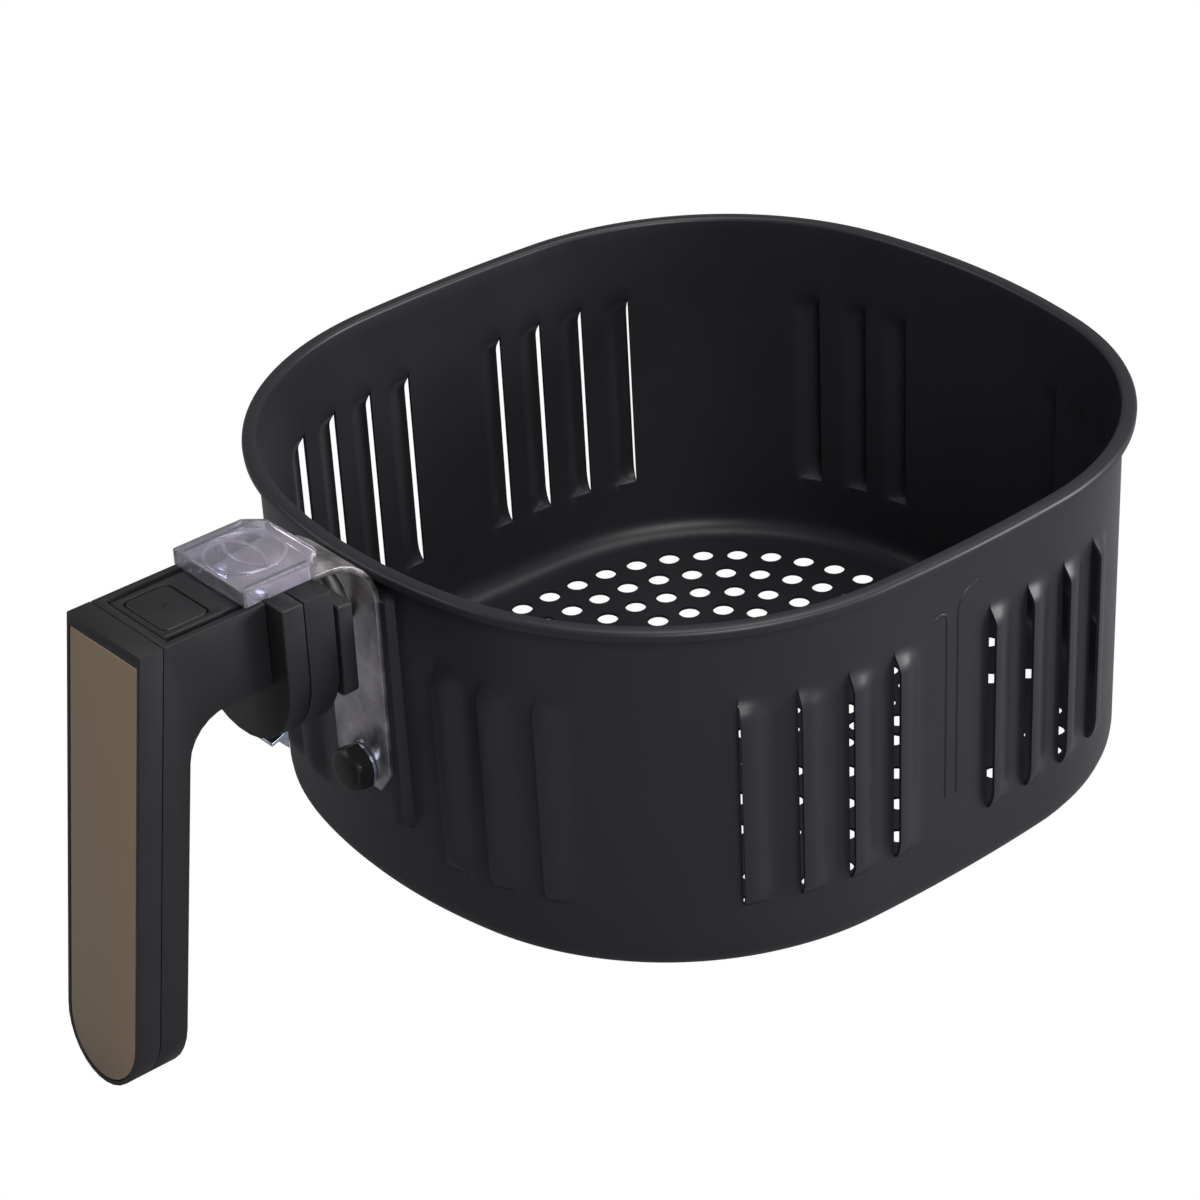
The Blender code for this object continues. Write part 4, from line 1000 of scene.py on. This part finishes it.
def make_camera():
    turn, rise, roll = CAMERA_TURN, CAMERA_RISE, CAMERA_ROLL
    right = Vector((math.cos(turn), math.sin(turn), 0))
    up = Vector((-math.sin(turn) * math.sin(rise), math.cos(turn) * math.sin(rise),
                 math.cos(rise)))
    back = Vector((math.sin(turn) * math.cos(rise), -math.cos(turn) * math.cos(rise),
                   math.sin(rise)))
    rolled_right = right * math.cos(roll) + up * math.sin(roll)
    rolled_up = up * math.cos(roll) - right * math.sin(roll)
    data = bpy.data.cameras.new("camera")
    data.lens = CAMERA_LENS
    data.sensor_width = 36
    data.clip_start, data.clip_end = 0.01, 20
    camera = bpy.data.objects.new("camera", data)
    bpy.context.scene.collection.objects.link(camera)
    turned = Matrix((rolled_right, rolled_up, back)).transposed().to_4x4()
    camera.matrix_world = Matrix.Translation(CAMERA_PLACE) @ turned
    bpy.context.scene.camera = camera


def resting_slope():
    """Far edge and slope of the surface that touches the grip's tip and the basket's foot."""
    far = BACK_DEPTH - FLOOR_FILLET
    slope = 0.0
    for node in ("handle_body", "grip_cover", "insert_plate"):
        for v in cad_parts[node].data.vertices:
            slope = max(slope, -v.co.z / (far - v.co.y))
    return far, slope


def make_floor():
    """Paper, pure white to the eye but dim as a light, and clear when seen from below."""
    far, slope = resting_slope()
    bm = bmesh.new()
    bmesh.ops.create_grid(bm, x_segments=1, y_segments=1, size=6)
    for v in bm.verts:
        v.co.z = -slope * (far - v.co.y) - FLOOR_DROP
    mesh = mesh_of(bm, "studio_floor")
    mat, tree, paper, _ = surface("white_paper", from_hex("#8c8c90"), 0.9)
    ray = add_node(tree, "ShaderNodeLightPath")
    glow = add_node(tree, "ShaderNodeEmission", Color=(1, 1, 1, 1), Strength=1.0)
    mix = add_node(tree, "ShaderNodeMixShader", i0=ray.outputs["Is Camera Ray"],
                   i1=paper.outputs[0], i2=glow.outputs[0])
    facing = add_node(tree, "ShaderNodeNewGeometry")
    clear = add_node(tree, "ShaderNodeBsdfTransparent")
    sided = add_node(tree, "ShaderNodeMixShader", i0=facing.outputs["Backfacing"],
                     i1=mix.outputs[0], i2=clear.outputs[0])
    out = next(n for n in tree.nodes if n.type == "OUTPUT_MATERIAL")
    tree.links.new(sided.outputs[0], out.inputs["Surface"])
    mesh.materials.append(mat)
    floor = bpy.data.objects.new("studio_floor", mesh)
    bpy.context.scene.collection.objects.link(floor)


def make_light(name, place, size, power):
    """A round lamp, its size in metres and its power in watts."""
    data = bpy.data.lights.new(name, "AREA")
    data.shape = "DISK"
    data.size = size
    data.energy = power
    light = bpy.data.objects.new(name, data)
    light.location = place
    light.rotation_euler = (LIGHT_TARGET - Vector(place)).to_track_quat("-Z", "Y").to_euler()
    bpy.context.scene.collection.objects.link(light)


def make_world():
    """White to the eye, dimmer as a light, so that the black coating stays black."""
    world = bpy.data.worlds.new("studio")
    bpy.context.scene.world = world
    world.use_nodes = True
    tree = world.node_tree
    tree.nodes.clear()
    ray = add_node(tree, "ShaderNodeLightPath")
    strength = add_node(tree, "ShaderNodeMapRange", i0=ray.outputs["Is Camera Ray"],
                        i1=0.0, i2=1.0, i3=WORLD_LIGHT, i4=1.0)
    paper = add_node(tree, "ShaderNodeBackground", Color=(1, 1, 1, 1),
                     Strength=strength.outputs[0])
    add_node(tree, "ShaderNodeOutputWorld", Surface=paper.outputs[0])


# -------- operators

FINISHES = {}


def finishes():
    """The object's materials, made once."""
    colours = bpy.context.scene.basket_colours
    makers = {"coating": lambda: nonstick_coating(tuple(colours.coating)),
              "moulded": lambda: moulded_abs(tuple(colours.moulded)),
              "bronze": lambda: bronze_lacquer(tuple(colours.bronze)),
              "strap": lambda: strap_steel(tuple(colours.strap)),
              "zinc": lambda: zinc_plate(tuple(colours.zinc)),
              "brass": turned_brass, "cap": cap_plastic, "clear": clear_polycarbonate}
    if not FINISHES:
        FINISHES.update({name: make() for name, make in makers.items()})
    return FINISHES


class BuildBasket(bpy.types.Operator):
    """Build the pressed, perforated shell and its fill mark"""
    bl_idname = "basket.shell"
    bl_label = "Basket Shell"

    def execute(self, context):
        make_basket(context.scene.basket_sizes, finishes()["coating"])
        make_fill_mark(finishes()["coating"])
        return {"FINISHED"}


class BuildStrap(bpy.types.Operator):
    """Build the steel strap, its dart and its cap nut"""
    bl_idname = "basket.strap"
    bl_label = "Mounting Strap"

    def execute(self, context):
        softened("mounting_strap", "basket", "bare_steel", finishes()["strap"], 0.0003)
        make_strap_gusset(finishes()["strap"])
        make_cap_nut(finishes()["cap"])
        return {"FINISHED"}


class BuildHandle(bpy.types.Operator):
    """Build the handle, its collar and flange, the deck and the button"""
    bl_idname = "basket.handle"
    bl_label = "Handle"

    def execute(self, context):
        make_handle(finishes()["moulded"], finishes()["bronze"])
        make_deck(finishes()["moulded"])
        make_button(finishes()["moulded"])
        return {"FINISHED"}


class BuildGuard(bpy.types.Operator):
    """Build the clear sliding guard"""
    bl_idname = "basket.guard"
    bl_label = "Guard"

    def execute(self, context):
        make_guard(finishes()["clear"])
        return {"FINISHED"}


class BuildFasteners(bpy.types.Operator):
    """Build the screws and the latch, and finish the parts inside the handle"""
    bl_idname = "basket.fasteners"
    bl_label = "Fasteners and Latch"

    def execute(self, context):
        made = finishes()
        make_screws(made["zinc"])
        make_springs(made["zinc"])
        softened("latch_hook", "latch", "zinc_plate", made["zinc"], 0.00015)
        inner = {"zinc": ("strap_bolt", "strap_washer", "lever_pin"),
                 "brass": ("screw_insert_1", "screw_insert_2"),
                 "moulded": ("release_lever",)}
        for finish, nodes in inner.items():
            for node in nodes:
                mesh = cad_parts[node].data
                mesh.materials.clear()
                mesh.materials.append(made[finish])
        return {"FINISHED"}


class BuildStage(bpy.types.Operator):
    """Build the floor, the lights and the camera"""
    bl_idname = "basket.stage"
    bl_label = "Stage"

    def execute(self, context):
        make_floor()
        make_world()
        make_camera()
        for light in LIGHTS:
            make_light(*light)
        context.scene.view_settings.view_transform = "Standard"
        return {"FINISHED"}


class BasketPanel(bpy.types.Panel):
    """Lists the pieces of the basket"""
    bl_idname = "VIEW3D_PT_basket"
    bl_label = "Air Fryer Basket"
    bl_space_type = "VIEW_3D"
    bl_region_type = "UI"
    bl_category = "Basket"

    def draw(self, context):
        for group in (context.scene.basket_sizes, context.scene.basket_colours):
            for name in group.__annotations__:
                self.layout.prop(group, name)
        for operator in OPERATORS:
            self.layout.operator(operator.bl_idname)


OPERATORS = (BuildStage, BuildBasket, BuildStrap, BuildHandle, BuildGuard, BuildFasteners)
CLASSES = (BasketSizes, FinishColours, *OPERATORS, BasketPanel)


def register():
    for cls in CLASSES:
        bpy.utils.register_class(cls)
    bpy.types.Scene.basket_sizes = PointerProperty(type=BasketSizes)
    bpy.types.Scene.basket_colours = PointerProperty(type=FinishColours)


def unregister():
    del bpy.types.Scene.basket_colours
    del bpy.types.Scene.basket_sizes
    for cls in reversed(CLASSES):
        bpy.utils.unregister_class(cls)


def main():
    register()
    bpy.ops.basket.stage()
    bpy.ops.basket.shell()
    bpy.ops.basket.strap()
    bpy.ops.basket.handle()
    bpy.ops.basket.guard()
    bpy.ops.basket.fasteners()
    bpy.context.view_layer.update()


if __name__ == "__main__":
    main()
